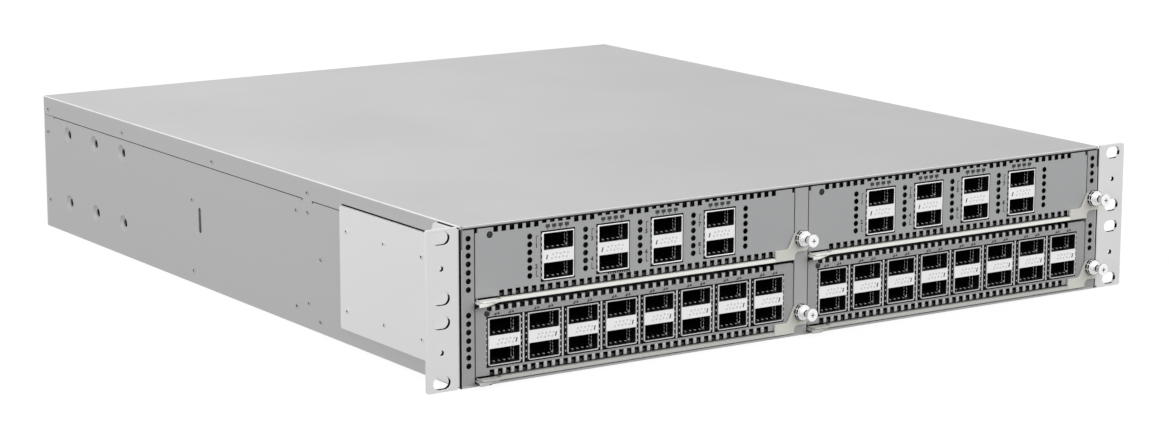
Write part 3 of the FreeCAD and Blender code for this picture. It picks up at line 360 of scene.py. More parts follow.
def rounded(points, radii, steps=3):
    """Polygon with its corners rounded."""
    loop = []
    for number, (here, radius) in enumerate(for_each(points, radii)):
        if not radius:
            loop.append(here)
            continue
        corner = Vector(here)
        back = (Vector(points[number - 1]) - corner).normalized()
        ahead = (Vector(points[(number + 1) % len(points)]) - corner).normalized()
        half = back.angle(ahead) / 2
        reach = radius / math.tan(half)
        start, end = corner + back * reach, corner + ahead * reach
        centre = corner + (back + ahead).normalized() * (radius / math.sin(half))
        for step in range(steps + 1):
            way = (start - centre).lerp(end - centre, step / steps)
            loop.append(tuple(centre + way.normalized() * radius))
    return loop


def area(loop):
    """Twice the area inside a loop, above zero where it runs anticlockwise."""
    return sum(a[0] * b[1] - b[0] * a[1] for a, b in zip(loop, loop[1:] + loop[:1]))


def sided(way, near, far):
    """The span between two distances from the middle, to the left (way -1) or to the right (1)."""
    return sorted((way * near, way * far))


def mirrored(way, loop):
    """The loop as it is to the right (way 1), or its mirror image to the left (-1)."""
    return [(way * a, b) for a, b in loop]


# ---- making pieces ----

PLANES = {"front": (math.pi / 2, 0, 0), "side": (math.pi / 2, 0, math.pi / 2), "flat": (0, 0, 0)}
AXES = {"-Y": (math.pi / 2, 0, 0), "-X": (0, -math.pi / 2, 0)}


def select(*pieces):
    """Selects these pieces and nothing else, the first one active."""
    bpy.ops.object.select_all(action="DESELECT")
    for piece in pieces:
        piece.select_set(True)
    if pieces:
        bpy.context.view_layer.objects.active = pieces[0]


def settle(name):
    """The active object, its place put into its mesh."""
    bpy.ops.object.transform_apply(location=True, rotation=True, scale=True)
    piece = bpy.context.object
    piece.name = piece.data.name = name
    return piece


def smooth(piece, angle=20):
    select(piece)
    bpy.ops.object.shade_smooth_by_angle(angle=math.radians(angle))
    return piece


def join(name, pieces):
    """Several meshes as one piece."""
    select(*pieces)
    if len(pieces) > 1:
        bpy.ops.object.join()
    whole = pieces[0]
    whole.name = whole.data.name = name
    return whole


def moved(piece, x=0, z=0):
    """Copy of a piece with its own mesh, moved by so many millimetres."""
    twin = piece.copy()
    twin.data = piece.data.copy()
    bpy.context.scene.collection.objects.link(twin)
    twin.data.transform(Matrix.Translation(Vector((x, 0, z)) * MM))
    return twin


def discard(*pieces):
    for piece in pieces:
        bpy.data.objects.remove(piece)


def sheet(name, plane, at, loops, gauge=1.2, edge=0.15, rounds=1):
    """Cut sheet about the middle of its thickness: its outline, then its holes, edges rounded by edge."""
    select()
    bpy.ops.object.add(type="CURVE", location=[value * MM for value in at], rotation=PLANES[plane])
    data = bpy.context.object.data
    data.dimensions, data.fill_mode = "2D", "BOTH"
    data.extrude = (gauge / 2 - edge) * MM
    data.bevel_depth, data.bevel_resolution = edge * MM, rounds
    data.offset = -edge * MM
    for number, loop in enumerate(loops):
        if (area(loop) > 0) == (number > 0):
            loop = loop[::-1]
        spline = data.splines.new("POLY")
        spline.points.add(len(loop) - 1)
        for point, (a, b) in zip(spline.points, loop):
            point.co = (a * MM, b * MM, 0, 1)
        spline.use_cyclic_u = True
    bpy.ops.object.convert(target="MESH")
    return settle(name)


def cut_edges(name, at, holes, gauge, wall=0.15):
    """Thin lining on the walls of round holes, each given as (x, z, radius)."""
    loops = [ring(x, z, size) for x, z, radius in holes for size in (radius, radius - wall)]
    return sheet(name, "front", at, loops, gauge, 0)


def block(name, x, y, z, edge=0.3, segments=2):
    """Box between given planes with rounded edges."""
    select()
    spans = (x, y, z)
    bpy.ops.mesh.primitive_cube_add(size=1, location=[sum(span) / 2 * MM for span in spans],
                                    scale=[(span[1] - span[0]) * MM for span in spans])
    piece = settle(name)
    if edge:
        bevel = piece.modifiers.new("edges", "BEVEL")
        bevel.width, bevel.segments = edge * MM, segments
        bpy.ops.object.modifier_apply(modifier="edges")
    return piece


def turned(name, at, profile, axis="-Y", sides=32):
    """Turned piece: profile gives (distance along the axis, radius) from its first face to its last."""
    select()
    first, radius = profile[0]
    bpy.ops.mesh.primitive_circle_add(vertices=sides, radius=radius * MM, fill_type="NGON",
                                      location=(0, 0, first * MM))
    bpy.ops.object.transform_apply(location=True)
    piece = bpy.context.object
    bpy.ops.object.mode_set(mode="EDIT")
    for (before, wide), (after, narrow) in zip(profile, profile[1:]):
        bpy.ops.mesh.extrude_region_move(TRANSFORM_OT_translate={"value": (0, 0, (after - before) * MM)})
        if wide != narrow:
            bpy.ops.transform.resize(value=(narrow / wide, narrow / wide, 1),
                                     center_override=(0, 0, after * MM))
    bpy.ops.mesh.select_all(action="SELECT")
    bpy.ops.mesh.normals_make_consistent(inside=False)
    bpy.ops.object.mode_set(mode="OBJECT")
    piece.rotation_euler = AXES[axis]
    piece.location = Vector(at) * MM
    return smooth(settle(name), 40)


def dress(piece, look, body, replaces=None):
    """Gives a piece its look and its body; a look by name is its slot as well."""
    piece.data.materials.clear()
    piece.data.materials.append(LOOKS[look] if isinstance(look, str) else look)
    for face in piece.data.polygons:
        face.material_index = 0
    if replaces:
        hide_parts(replaces)
    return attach(piece, body)


# ---- cards ----

PANEL = (206.8, 37.0)
FACE_Y, FACE_GAUGE, LINING_GAUGE = 0.6, 1.2, 1.22
PRINT_Y = -0.02
TALL, SHORT, FOOT_NOTCH = 2.7, 1.25, 3.1
NOTCH = 2.8
WINDOW = (4.5, 31.3)
PORTS = {"upper": (35.0, 4), "lower": (24.6, 8)}  # pitch and number of the cages
CAGE_HALF, CAGE_TALL, CAGE_FOOT = 10, 25.6, 5.1
CAGE_BODY, CAGE_BACK = (3, 51), (50, 58)
PORT_ROWS = ((0.6, 9.2), (16.1, 25.0))
PORT_SIDES = ((-1, -8.9), (1, 9.15))
BAND_Z, BAND_MARK_Y, MARK_GAUGE = (9.25, 16.05), -0.71, 0.04
TICK_X, TICK_Z = {"upper": -7.2, "lower": 7.3}, 12.3
SHADE_FRAME_END, SHADE_FRAME_JOINT, SHADE_FRAME_Z = 10.8, 12.3, (-0.8, 26.4)
SCREW_X, SCREW_Z = 107.4, 9.1
STRIP_END, SHELF_END = 89.8, 103
# across from the cage's middle, depth, height from the finger's middle, rounding
SPRING_FINGERS = {"upper": [((-10.6, -10.0), (-0.1, 0.5), (-0.75, 0.75), 0.1)],
                  "lower": [((10.15, 11.1), (-0.2, 0.5), (-0.45, 0.45), 0.15),
                            ((-11.2, -10.4), (-0.1, 0.5), (-0.2, 0.9), 0.15)]}


def port_centres(level, x=0):
    pitch, count = PORTS[level]
    return [x + pitch * (n - (count - 1) / 2) for n in range(count)]


def toothed(width, height, top, bottom, corner):
    """Panel outline with notches open at its top and bottom edges, each given as (place, depth)."""
    left, right, half = -width / 2, width / 2, NOTCH / 2
    across, down = corner
    loop = [(left, 0)]
    for place, depth in bottom:
        loop += [(place - half, 0), (place - half, depth), (place + half, depth), (place + half, 0)]
    loop += [(right, 0), (right, height - down),
             (right - across, height - down), (right - across, height)]
    for place, depth in sorted(top, reverse=True):
        loop += [(place + half, height), (place + half, height - depth),
                 (place - half, height - depth), (place - half, height)]
    return loop + [(left + across, height), (left + across, height - down), (left, height - down)]


def notch_lining(place, edge, depth, way, wall=0.14):
    """Lining of a notch that opens towards way (1 up, -1 down) from the panel edge."""
    left, right, foot = place - NOTCH / 2, place + NOTCH / 2, edge - way * depth
    return [(left, edge), (left, foot), (right, foot), (right, edge), (right - wall, edge),
            (right - wall, foot + way * wall), (left + wall, foot + way * wall), (left + wall, edge)]


def panel_plan(level):
    """Notches above and below, windows, round vents, indicator (x, z, radius) and corner steps."""
    if level == "upper":
        depths = [TALL] * 6 + ([SHORT] * 4 + [TALL] * 3) * 3 + [SHORT] * 4 + [TALL] * 6
        top = [(-90.9 + 5 * n, depth) for n, depth in enumerate(depths)]
        bottom = [(-87.4 + 5 * n, FOOT_NOTCH) for n in range(36)]
        windows = [soft_rect(c - 10.6, c + 10.6, *WINDOW, 0.8) for c in port_centres(level)]
        vents = [(column, 8.4 + 4.2 * n, 1.55) for column in (-70, -35, 0, 35, 70) for n in range(6)]
        return top, bottom, windows, vents, (-94.55, 33.15, 1.8), (1.5, 2.3)
    top = [(-95.1 + 5.1 * n, 2.6) for n in range(37)]
    bottom = [(-93.6 + 5.1 * n, FOOT_NOTCH) for n in range(36)]
    return top, bottom, [soft_rect(-96.7, 96.7, *WINDOW, 0.8)], [], (-96.5, 33.3, 1.7), (1.0, 0.6)


# gasket finger, rounded, between two notches, standing a little proud of the panel
FINGER = smooth(block("finger", (-1.0, 1.0), (-0.42, 0.9), (0.05, 3.1), 0.42, 3))


def make_panel(card, level, x, z):
    """Vented card face in its final shape, with painted shade in its notches and holes, and the gasket
    fingers along its edges.
    """
    width, height = PANEL
    body, at = card + "_card", (x, FACE_Y, z)
    top, bottom, windows, vents, lamp, corner = panel_plan(level)
    outline = toothed(width, height, top, bottom, corner)
    loops = [outline, *windows, *(ring(*hole) for hole in [*vents, lamp])]
    panel = smooth(sheet(card + "_face", "front", at, loops, FACE_GAUGE, 0.12))
    look = "panel_paint" if level == "upper" else SHADED_PANEL
    dress(panel, look, body, card + "_card_panel")
    # Black linings in the notches and round the vents and lamp: painted shade on their walls.
    linings = [notch_lining(place, height, depth, 1) for place, depth in top]
    linings += [notch_lining(place, 0, depth, -1) for place, depth in bottom]
    dark = [sheet("linings", "front", at, linings, LINING_GAUGE, 0),
            cut_edges("rims", at, [*vents, lamp], LINING_GAUGE)]
    dress(join(card + "_cut_edges", dark), SHADE, body)
    lens = turned(card + "_indicator", (x + lamp[0], 0, z + lamp[1]),
                  [(-0.9, 1.5), (-0.1, 1.45), (0.05, 0.9)], "-Y", 20)
    dress(lens, LAMP_LENS, body)
    if level == "upper":
        teeth = [moved(FINGER, x + place + 2.5, z) for place, depth in bottom[:-1]]
        dress(join(card + "_gasket_fingers", teeth), "panel_paint", body)
    else:
        teeth = [moved(FINGER, x + place + 2.55, z + rise)
                 for row, rise in ((bottom, 0), (top, height - 3.15)) for place, depth in row[:-1]]
        dress(join(card + "_gasket_fingers", teeth), TOOTH, body)


def cage_parts():
    """Stacked cage about x = 0, its underside at z = 0: shell, liners in painted shade, springs, and
    plates of painted reflection.
    """
    openings = [soft_rect(-9.15, 9.4, *row, 0.4) for row in PORT_ROWS]
    wide, tall = (-CAGE_HALF, CAGE_HALF), (0, CAGE_TALL)
    outline = soft_rect(*wide, *tall, [1.5, 0.8, 0.4, 0.4])
    shell = [sheet("rim", "front", (0, 1.4, 0), [outline, *openings], 4.0, 0.16),
             block("back", wide, CAGE_BACK, tall, 0.3)]
    shell += [block("wall", sided(side, 9.5, CAGE_HALF), CAGE_BODY, tall, 0.1) for side in (-1, 1)]
    shell += [block("plate", wide, CAGE_BODY, span, 0.1) for span in ((25.1, CAGE_TALL), (0, 0.5))]
    liners, springs, reflections = [], [], []
    for low, high in PORT_ROWS:
        tube = [soft_rect(-9.14, 9.39, low, high, 0.4),
                soft_rect(-8.9, 9.15, low + 0.24, high - 0.24, 0.3)]
        liners.append(sheet("liner", "front", (0, 24, 0), tube, 48.6, 0.03))
        liners.append(block("blank", (-9.1, 9.3), (47, 50), (low, high), 0.2))
        for side, face in PORT_SIDES:
            for depth in ((5.0, 5.3), (7.4, 7.7)):
                springs += [block("spring", sorted((face, face - side * 0.25)), depth,
                                  (low + 0.7 + 1.9 * n, low + 2.1 + 1.9 * n), 0.08, 1) for n in range(4)]
            springs.append(block("foot", sorted((face, face - side * 0.8)), (5.0, 6.2),
                                 (low + 0.3, low + 1.0), 0.1, 1))
            # Tongue on the side wall: a painted sheen in the springs' near-white.
            tongue = block("tongue", sided(side, 0, 0.2), (0, 15), (high - 3.1, high - 1.9), 0.05, 1)
            lean = Matrix.Rotation(side * math.radians(4), 4, "Z")
            tongue.data.transform(Matrix.Translation(Vector((face - side * 0.3, 11, 0)) * MM) @ lean)
            springs.append(tongue)
        for middle in [-6.4 + 3.2 * n for n in range(5)]:
            springs.append(block("contact", (middle - 0.4, middle + 0.4), (4.6, 5.9),
                                 (low + 0.24, low + 0.42), 0.05, 1))
        # Grey plate high in the port: painted reflection.
        reflections.append(block("sheen", (-8.8, -2.6), (7.5, 8.5), (high - 2.3, high - 1.2), 0.3))
    return (smooth(join("cage_shell", shell)), smooth(join("cage_liner", liners)),
            join("cage_springs", springs), join("cage_sheens", reflections))


SHELL, LINER, SPRINGS, REFLECTION_PLATES = cage_parts()

# band between the stacked ports, with two rows of small ring marks
BAND_PLATE = smooth(sheet("cage_band", "front", (0, -0.45, 0), [rect(-9.6, 9.7, *BAND_Z)], 0.5, 0.08))
DOTS = [(-4.2 + 2.3 * n + 0.8 * row, 11.4 + 2.0 * row + 0.35 * (n % 2), 0.55)
        for n in range(5) for row in range(2)]
BAND_DOTS = cut_edges("band_dots", (0, BAND_MARK_Y, 0), DOTS, MARK_GAUGE, 0.22)


def slanted(x, z):
    """Small slanted tick on a band."""
    return [(x - 0.7, z - 1.2), (x + 0.05, z - 1.2), (x + 0.7, z + 1.2), (x - 0.05, z + 1.2)]


def make_cages(card, level, x, z):
    """Row of stacked cages with their bands, painted shade behind the face round each cage, and the
    spring fingers.
    """
    body, upper = card + "_card", level == "upper"
    centres = port_centres(level, x)
    base = z + CAGE_FOOT
    for suffix, model, look, slot in (
            ("_cage_shells", SHELL, "cage_steel" if upper else SHADED_CAGE_STEEL, "cage_steel"),
            ("_port_liners", LINER, PORT_SHADE, "connector_plastic"),
            ("_port_springs", SPRINGS, SPRING_HIGHLIGHT, "cage_steel"),
            ("_port_sheens", REFLECTION_PLATES, REFLECTION_PAINT, "connector_plastic"),
            ("_cage_bands", BAND_PLATE, BAND, "cage_steel"),
            ("_band_dots", BAND_DOTS, FAINT_INK, "cage_steel")):
        row = join(card + suffix, [moved(model, c, base) for c in centres])
        dress(row, look, body, card + "_card_cages" if model in (SHELL, LINER) else None)
    ticks = [slanted(c + TICK_X[level], base + TICK_Z) for c in centres]
    printed = sheet(card + "_band_ticks", "front", (0, BAND_MARK_Y, 0), ticks, MARK_GAUGE, 0)
    dress(printed, INK, body)
    # Black frames behind the face round each cage: painted shade in the gap between face and cage.
    frames = []
    for c in centres:
        left = c - (SHADE_FRAME_END if upper or c == centres[0] else SHADE_FRAME_JOINT)
        right = c + (SHADE_FRAME_END if upper or c == centres[-1] else SHADE_FRAME_JOINT)
        frames += [rect(left, right, *(base + edge for edge in SHADE_FRAME_Z)),
                   rect(c - CAGE_HALF, c + CAGE_HALF, base + 0.02, base + CAGE_TALL - 0.02)]
    gasket = sheet(card + "_cage_gaskets", "front", (0, 0.24, 0), frames, 0.6, 0)
    dress(gasket, SHADE, body)
    fingers = [block("finger", (c + x0, c + x1), depth, (middle + low, middle + high), edge, 1)
               for c in centres for middle in [base + 1.6 + 3.2 * n for n in range(8)]
               for (x0, x1), depth, (low, high), edge in SPRING_FINGERS[level]]
    if not upper:
        middles = [(left + right) / 2 for left, right in zip(centres, centres[1:])]
        fingers += [block("bar", (c - 0.85, c + 0.3), (-0.1, 1.2), (z + WINDOW[0], z + WINDOW[1]), 0.15)
                    for c in middles]
    dress(join(card + "_spring_fingers", fingers), SHADED_CAGE_STEEL, body)


def number_mark(text, x, z, height=3.24):
    """Plain printed number, its middle at x, z."""
    select()
    bpy.ops.object.text_add(location=(x * MM, PRINT_Y * MM, z * MM), rotation=PLANES["front"])
    data = bpy.context.object.data
    data.body, data.size, data.extrude = text, height * MM, 0.03 * MM
    data.align_x, data.align_y, data.resolution_u, data.offset = "CENTER", "CENTER", 2, 0.13 * MM
    bpy.ops.object.convert(target="MESH")
    return settle("number")


def make_marks(card, level, x, z):
    """Port symbols printed above the cages, and numbers with brackets beside the vent columns."""
    centres = port_centres(level, x)
    shapes, numbers = [], []
    for number, c in enumerate(centres):
        if level == "upper":
            for a in (c - 6.3, c - 2.3, c + 1.7, c + 5.7):
                b = z + 34.6
                shapes.append([(a - 1.35, b - 1.65), (a - 0.4, b - 1.65), (a - 0.4, b - 2.7),
                               (a + 0.1, b - 2.7), (a + 0.1, b - 1.65), (a + 1.35, b - 1.65),
                               (a + 1.35, b + 0.2), (a - 1.35, b + 0.2)])
            label = c - 13.4
            for way, middle, digit in ((1, z + 24.0, 2 * number + 1), (-1, z + 12.9, 2 * number + 2)):
                near, far, end = (middle + way * reach for reach in (1.7, 5.0, 5.4))
                shapes.append([(label - 0.3, near), (label + 0.1, near), (label + 0.1, far),
                               (label + 1.3, far), (label + 1.3, end), (label - 0.3, end)])
                numbers.append(number_mark(str(digit), label, middle))
        else:
            for a in (c - 4.4, c + 4.4):
                b = z + 31.9
                shapes += [[(a - 1.9, b - 0.1), (a - 0.1, b + 0.1), (a - 0.1, b + 1.6),
                            (a - 1.0, b + 1.0)],
                           [(a + 0.2, b + 0.3), (a + 1.9, b + 0.3), (a + 1.5, b + 1.2),
                            (a + 0.9, b + 1.7)]]
    if level == "upper":
        start = centres[1] - 3.4
        shapes += [rect(start + 1.5 * n, start + 1.5 * n + 1.0, z + 3.45, z + 4.3) for n in range(10)]
    printed = sheet("printed", "front", (0, PRINT_Y, 0), shapes, 0.05, 0)
    dress(join(card + "_port_marks", [printed, *numbers]), INK, card + "_card")


def make_lever(card, level, x, z):
    """Ejector lever: strip with its finger pad, screw bracket, and painted shade in the gap round its
    ear; the strip's tone is painted light on the upper cards and painted shade on the lower.
    """
    arm, body, taken = card + "_lever", card + "_card", card + "_card_lever"
    coat = LIT_STRIP if level == "upper" else SHADED_STRIP
    plan = rounded([(STRIP_END, -1.8), (STRIP_END, 4), (-103.2, 4), (-103.2, -3.5), (-106, -8),
                    (-101, -8), (-89.5, -1.8)], [0.2, 0.4, 0.4, 0.6, 1.0, 1.0, 3.0])
    pad = rounded([(-104.9, -6.6), (-105.7, -7.6), (-101.4, -7.6), (-94.4, -4.0), (-94.8, -3.2),
                   (-101.6, -6.7)], 0.2)
    strip = [sheet("strip", "flat", (x, 0, z - 2.05), [plan, ring(-98.5, -3.5, 1.62)], 1.5, 0.2, 2),
             sheet("lip", "flat", (x, 0, z - 2.5), [pad], 1.2, 0.2),
             block("rib", (x - 88.5, x + 89.6), (-1.75, 0.9), (z - 1.4, z - 0.8), 0.15, 1)]
    dress(smooth(join(card + "_lever_strip", strip), 12), coat, arm, taken)
    # Cap over the tray's ear in the strip's painted tone, covering the tray's painted shade there.
    cap = block(card + "_ear_cap", (x - 103.05, x - 92.95), (-7.06, -0.05), (z - 1.12, z - 0.14), 0.1, 1)
    dress(cap, coat, body)
    # Black blocks in the gap under the panel and round the tray's ear: painted shade.
    gap = [block("gap", (x - 103.2, x - 89.5), (-0.1, 0.5), (z - 0.4, z + 0.3), 0),
           block("gap", (x - 102.9, x - 93.1), (-2.4, -0.05), (z - 0.4, z - 0.1), 0)]
    dress(join(card + "_ear_gap", gap), SHADE, body)
    front = rounded([(89.9, -2.8), (SHELF_END, -2.8), (SHELF_END, 1.5), (111.6, 1.5), (112.6, 3.4),
                     (111.6, 13.3), (103.9, 12.9), (98.7, 3.5), (89.9, 3.5)],
                    [0.3, 0.4, 2.6, 0.8, 0.8, 3.6, 3.2, 2.2, 0.6], 5)
    eye = ring(SCREW_X, SCREW_Z, 2.12, 24)
    bracket = [sheet("bracket", "front", (x, -1.05, z), [front, eye], 1.5, 0.2, 2),
               block("shelf", (x + STRIP_END, x + SHELF_END), (-1.7, 4), (z - 2.8, z - 1.3), 0.2)]
    dress(smooth(join(card + "_lever_bracket", bracket), 12), "lever_paint", arm, replaces=taken)


def make_thumbscrew(card, x, z):
    """Captive screw with a fluted collar, a slim neck and a flat, cross-cut head."""
    at, body = (x + SCREW_X, 0, z + SCREW_Z), card + "_screw"
    profile = [(-5, 1.6), (-4.6, 2.0), (1.88, 2.0), (1.89, 4.3), (2.05, 4.5), (3.3, 4.5), (3.35, 4.62),
               (3.95, 4.62), (4.0, 4.5), (5.0, 4.5), (5.28, 4.2), (5.3, 2.3), (7.2, 2.3), (7.4, 2.0),
               (8.6, 2.0), (8.8, 2.3), (10.9, 2.3), (11.0, 3.4), (11.2, 3.6), (12.8, 3.6), (13.05, 3.35)]
    screw = turned(card + "_screw_dressed", at, profile)
    dress(screw, "screw_steel", body, replaces=card + "_card_thumbscrew")
    # Black flutes, neck ring and cross: the flutes and recesses are real, their black is painted shade
    # and painted dark reflection.
    dark = []
    for n in range(9):
        turn = Matrix.Rotation(2 * math.pi * n / 9, 4, "Y")
        for depth in ((-3.3, -1.98), (-5.06, -3.98)):
            flute = block("flute", (-1.2, 1.2), depth, (3.8, 4.58), 0.12, 1)
            flute.data.transform(Matrix.Translation(Vector(at) * MM) @ turn)
            dark.append(flute)
    thin, long = 0.2, 1.3
    cross = [(-long, -thin), (-thin, -thin), (-thin, -long), (thin, -long), (thin, -thin), (long, -thin),
             (long, thin), (thin, thin), (thin, long), (-thin, long), (-thin, thin), (-long, thin)]
    dark.append(sheet("cross", "front", (at[0], -13.1, at[2]), [cross], 0.14, 0))
    dark.append(turned("neck_ring", at, [(7.35, 2.05), (7.5, 2.1), (8.3, 2.1), (8.5, 2.05)], sides=24))
    dress(join(card + "_screw_grooves", dark), SHADE, body)


for card, level, x, z in CARDS:
    make_panel(card, level, x, z)
    make_cages(card, level, x, z)
    make_marks(card, level, x, z)
    make_lever(card, level, x, z)
    make_thumbscrew(card, x, z)
discard(SHELL, LINER, SPRINGS, REFLECTION_PLATES, BAND_PLATE, BAND_DOTS, FINGER)


# ---- front posts and rack ears ----

POST_X, POST_HALF, POST_Z = 216.2, 3.6, (-41.8, 41.2)
SLOT_X, SLOT_Z, SLOT_SIZE = 232.55, (38.1, 6.35, -6.35, -38.1), (10.5, 3.5)
EAR_SPAN, EAR_GAUGE, PLATE_X, SIDE_X = (222.9, 241.3), 2.0, 222, 221.0
BEND_X, BEND_RADIUS = 223, 2
CHASSIS_FOOT, CHASSIS_TOP = -43, 43


def make_posts():
    """Perforated uprights; the right one has fewer holes, and clearance for the captive screws."""
    for (side, way), first in zip(SIDES, (0, 3)):
        centre, inner = way * POST_X, POST_X - POST_HALF
        row = [(centre, foot + 4.5 * n, 1.5) for foot in (9.2, -31.4) for n in range(first, 7)]
        holes = [ring(*hole) for hole in row]
        if side == "right":
            holes += [ring(216.0, foot + SCREW_Z, 2.6, 16) for foot in CARD_Z.values()]
        outline = rect(centre - POST_HALF, centre + POST_HALF, *POST_Z)
        face = sheet("face", "front", (0, FACE_Y, 0), [outline, *holes], FACE_GAUGE, 0.2)
        leg = block("leg", sided(way, inner, inner + FACE_GAUGE), (1.0, 14), POST_Z, 0.15)
        post = smooth(join("front_post_%s_dressed" % side, [face, leg]))
        dress(post, "post_paint", "chassis", replaces="front_post_" + side)
        # Black rings on the walls of the post holes: painted shade.
        rims = cut_edges("front_post_%s_cut_edges" % side, (0, FACE_Y, 0), row, LINING_GAUGE)
        dress(rims, SHADE, "chassis")


def make_ears():
    """Each ear is one bent sheet: slotted flange, rounded bend and side plate, with painted shade lines
    in its slots and gaps.
    """
    for side, way in SIDES:
        slots = [(way * SLOT_X, rise, *SLOT_SIZE) for rise in SLOT_Z]
        small = [(way * SLOT_X, rise, 1.4) for rise in (22.2, -22.2)]
        holes = [slot_loop(*slot) for slot in slots] + [ring(*hole) for hole in small]
        radii = [1.2, 0, 0, 1.2] if side == "left" else [0, 1.2, 1.2, 0]
        outline = soft_rect(*sided(way, *EAR_SPAN), CHASSIS_FOOT, CHASSIS_TOP, radii)
        flange = sheet("flange", "front", (0, EAR_GAUGE / 2, 0), [outline, *holes], EAR_GAUGE, 0.12)
        corner = arc(BEND_X, BEND_RADIUS, BEND_RADIUS, sweep(270, 180, 6)) + [(BEND_X, BEND_RADIUS)]
        bend = sheet("bend", "flat", (0, 0, 0), [mirrored(way, corner)], 83.2, 0)
        profile = rounded([(1.9, -41.6), (24, -41.6), (27, -34.4), (124, -34.4), (124, 34.4), (27, 34.4),
                           (24, 41.6), (1.9, 41.6)], [0.2, 2.0, 3.0, 1.5, 1.5, 3.0, 2.0, 0.2])
        plate = sheet("plate", "side", (way * PLATE_X, 0, 0), [profile], EAR_GAUGE, 0.25)
        ear = smooth(join("rack_ear_%s_dressed" % side, [flange, bend, plate]), 16)
        dress(ear, "ear_paint", "chassis", replaces="rack_ear_" + side)
        # Black crescents in the slot walls, and black strips over the ear plate's top edges and the
        # wall's front edge: painted shade.
        parts = [(-118, 28)] if side == "left" else [(-28, 12), (-112, -66)]
        loops = [crescent(*slot, *part) for slot in slots for part in parts]
        loops += [crescent(a, b, 2 * radius, radius, -120, 50) for a, b, radius in small]
        rims = [sheet("rims", "front", (0, 1.05, 0), loops, 1.9, 0)]
        rims += [block("gap", sided(way, near, SIDE_X + 0.3), y, z, 0) for near, y, z in (
            (SIDE_X, (27, 124), (34.4, 35.1)), (SIDE_X, (1.5, 22), (41.5, 42.2)),
            (SIDE_X - 0.5, (-0.04, 0.5), (CHASSIS_FOOT, 41.3)))]
        dress(join("rack_ear_%s_cut_edges" % side, rims), SHADE, "chassis")


make_posts()
make_ears()


# ---- cover and side walls ----

DEPTH = 522
LID_MIDDLE, LID_LONG = 261.3, 521.4
LID_BEND = (220, 42)
NOSE, NOSE_RADIUS = (0.7, 42.3), 0.7
WALL_X, WALL_TOP, SEAM_OUT = 220.4, 30.7, 221.03
CUP_RADII, CUP_STEPS = (5.2, 4.8, 3.1, 2.6, 2.5), (0.3, 0.95, 0.25, 0.85)


def make_cover():
    """Lid with bent edges and a rolled hem along its front, a painted highlight along its bends and hem,
    and painted shade in the gap under the hem.
    """
    right = [(219.8, 31.0), (221, 31.0)] + arc(*LID_BEND, 1, sweep(0, 90, 6))
    outline = right + mirrored(-1, right[::-1]) + [(-219.8, 41.8), (219.8, 41.8)]
    lid = sheet("lid", "front", (0, LID_MIDDLE, 0), [outline], LID_LONG, 0)
    nose = arc(*NOSE, NOSE_RADIUS, (180, 164, 147, 131, 115, 98.3))
    profile = [(0.6, 41.79), (9, 41.79), (9, 41.3), (0.5, 41.3), (0, 41.8)] + nose
    hem = sheet("hem", "side", (0, 0, 0), [profile], 439.2, 0)
    cover = smooth(join("top_cover_dressed", [lid, hem]), 5)
    dress(cover, "cover_paint", "chassis", replaces="top_cover")
    loop = arc(*LID_BEND, 1.02, sweep(25, 65, 5)) + arc(*LID_BEND, 0.9, sweep(65, 25, 5))
    strips = [sheet("bend_light", "front", (0, LID_MIDDLE, 0), [mirrored(way, loop)], LID_LONG, 0)
              for way in (-1, 1)]
    loop = arc(*NOSE, 0.72, sweep(145, 115, 3)) + arc(*NOSE, 0.6, sweep(115, 145, 3))
    strips.append(sheet("lip_light", "side", (0, 0, 0), [loop], 438.0, 0))
    dress(join("top_cover_edges", strips), EDGE_HIGHLIGHT, "chassis")
    # Black block under the hem, in front of the card faces: painted shade in the gap.
    gap = block("top_cover_gap", (-219.5, 219.5), (-0.03, 0.8), (40.79, 41.32), 0)
    dress(gap, SHADE, "chassis")


def dimple(way, y, z):
    """Pressed cup in a side wall, open outwards."""
    select()
    bpy.ops.mesh.primitive_circle_add(vertices=28, radius=CUP_RADII[0] * MM, fill_type="NOTHING")
    bpy.ops.object.mode_set(mode="EDIT")
    for depth, wide, narrow in zip(CUP_STEPS, CUP_RADII, CUP_RADII[1:]):
        bpy.ops.mesh.extrude_region_move(TRANSFORM_OT_translate={"value": (0, 0, -depth * MM)})
        bpy.ops.transform.resize(value=(narrow / wide, narrow / wide, 1))
    bpy.ops.mesh.select_all(action="SELECT")
    bpy.ops.mesh.normals_make_consistent(inside=True)
    bpy.ops.object.mode_set(mode="OBJECT")
    cup = bpy.context.object
    cup.rotation_euler = (0, way * math.pi / 2, 0)
    cup.location = Vector((way * 220.95, y, z)) * MM
    return settle("dimple")


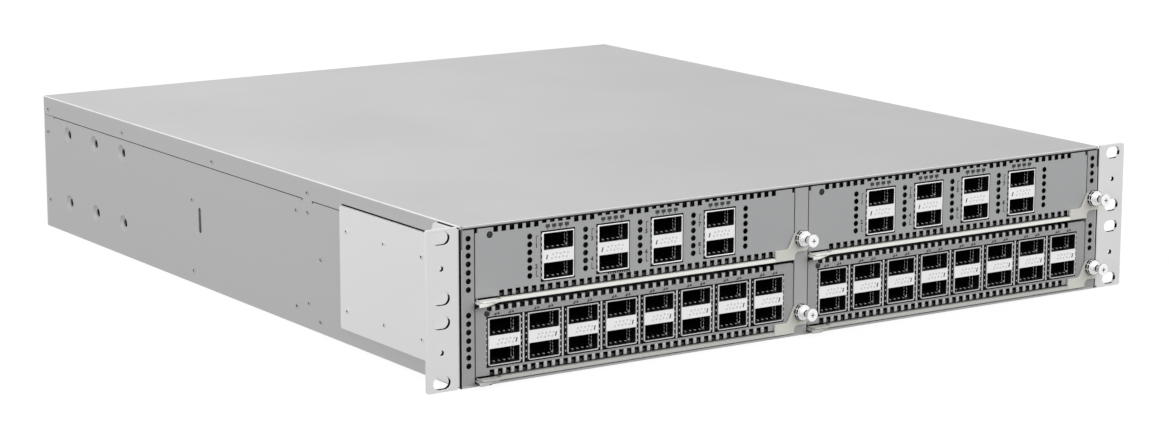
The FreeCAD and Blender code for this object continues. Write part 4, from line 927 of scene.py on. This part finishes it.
def make_sides():
    """Tray with pressed dimples round the rail holes, painted shade in its seams under the lid, and a
    painted highlight on its rear edges.
    """
    places = [(405.2 + 40.2 * n, z) for n in range(3) for z in (-22.7, 21.8)]
    made, cups, seams, lights = [], [], [], []
    for side, way in SIDES:
        outline = soft_rect(0, DEPTH, CHASSIS_FOOT, WALL_TOP, 0.3)
        holes = [ring(y, z, CUP_RADII[0], 28) for y, z in places]
        holes.append(soft_rect(296.7, 300.1, -10.8, 4.4, 1.2))
        made.append(sheet("wall", "side", (way * WALL_X, 0, 0), [outline, *holes], 1.2, 0.12))
        made.append(block("lap", sided(way, 218.6, 219.8), (2.4, 520.8), (29.5, 41.8), 0))
        cups += [dimple(way, y, z) for y, z in places]
        wall = sided(way, 220.0, SEAM_OUT)
        # Black strips in the seam between lid and side walls, with end ticks: painted shade.
        seams += [block("seam", wall, span, (30.6, 31.05), 0) for span in ((127, 158.4), (169.6, 507))]
        seams += [block("seam", wall, (y - 0.4, y + 0.4), (29.6, 31.0), 0) for y in (158.0, 170.0, 506.6)]
        # Lighter strips on the rear edges of the walls: painted highlight.
        lights.append(block("edge", sided(way, 220.5, SEAM_OUT), (521.0, 521.98), (-42.6, 30.4), 0))
    made.append(block("floor", (-219.9, 219.9), (0, DEPTH), (CHASSIS_FOOT, -41.8), 0.2))
    made += [block("tab", sided(way, 219.0, 220.98), (158.4, 169.6), (30.5, 31.05), 0) for way in (-1, 1)]
    tray = smooth(join("chassis_tray_dressed", made + cups))
    dress(tray, "body_paint", "chassis", replaces="chassis_tray")
    dress(join("chassis_tray_seams", seams), SHADE, "chassis")
    dress(join("chassis_tray_edges", lights), REAR_HIGHLIGHT, "chassis")


def small_screw():
    """Pan head and its cross recess, axis along -X, seat at x = 0."""
    head = turned("head", (0, 0, 0), [(-0.3, 1.2), (0.1, 1.45), (0.3, 1.35), (0.45, 1.0)], "-X", 20)
    long, thin = (-0.9, 0.9), (-0.22, 0.22)
    bars = [block("bar", (-0.5, -0.3), *spans, 0) for spans in ((long, thin), (thin, long))]
    return head, join("cross", bars)


def make_small_screws():
    """Screws in both side walls and both ears."""
    head, cross = small_screw()
    in_body = [(515, 35), (403.5, 35.2), (280.9, 35.2), (163.9, 35.1), (515.7, 20.1), (515.4, -24.6),
               (308.1, 8.1), (307.8, -35), (177.1, 23.1), (163.6, 24), (177.8, -32.2), (163.6, -28.1),
               (149.2, -0.6), (150.4, -36.4)]
    in_ear = [(y, z) for y in (35.8, 75.7, 116.0) for z in (21.2, -23.3)]
    for name, spots, reach, look in (("side_screws", in_body, SIDE_X, "body_paint"),
                                     ("ear_screws", in_ear, SIDE_X + EAR_GAUGE, "ear_paint")):
        # Crosses of the small screws in near black: painted shade in the recesses.
        for model, part, coat in ((head, "_heads", look), (cross, "_crosses", SHADE)):
            made = []
            for y, z in spots:
                for way, angle in ((-1, 0), (1, math.pi)):
                    twin = moved(model)
                    place = Matrix.Translation(Vector((way * reach, y, z)) * MM)
                    twin.data.transform(place @ Matrix.Rotation(angle, 4, "Z"))
                    made.append(twin)
            dress(join(name + part, made), coat, "chassis")
    discard(head, cross)


make_cover()
make_sides()
make_small_screws()
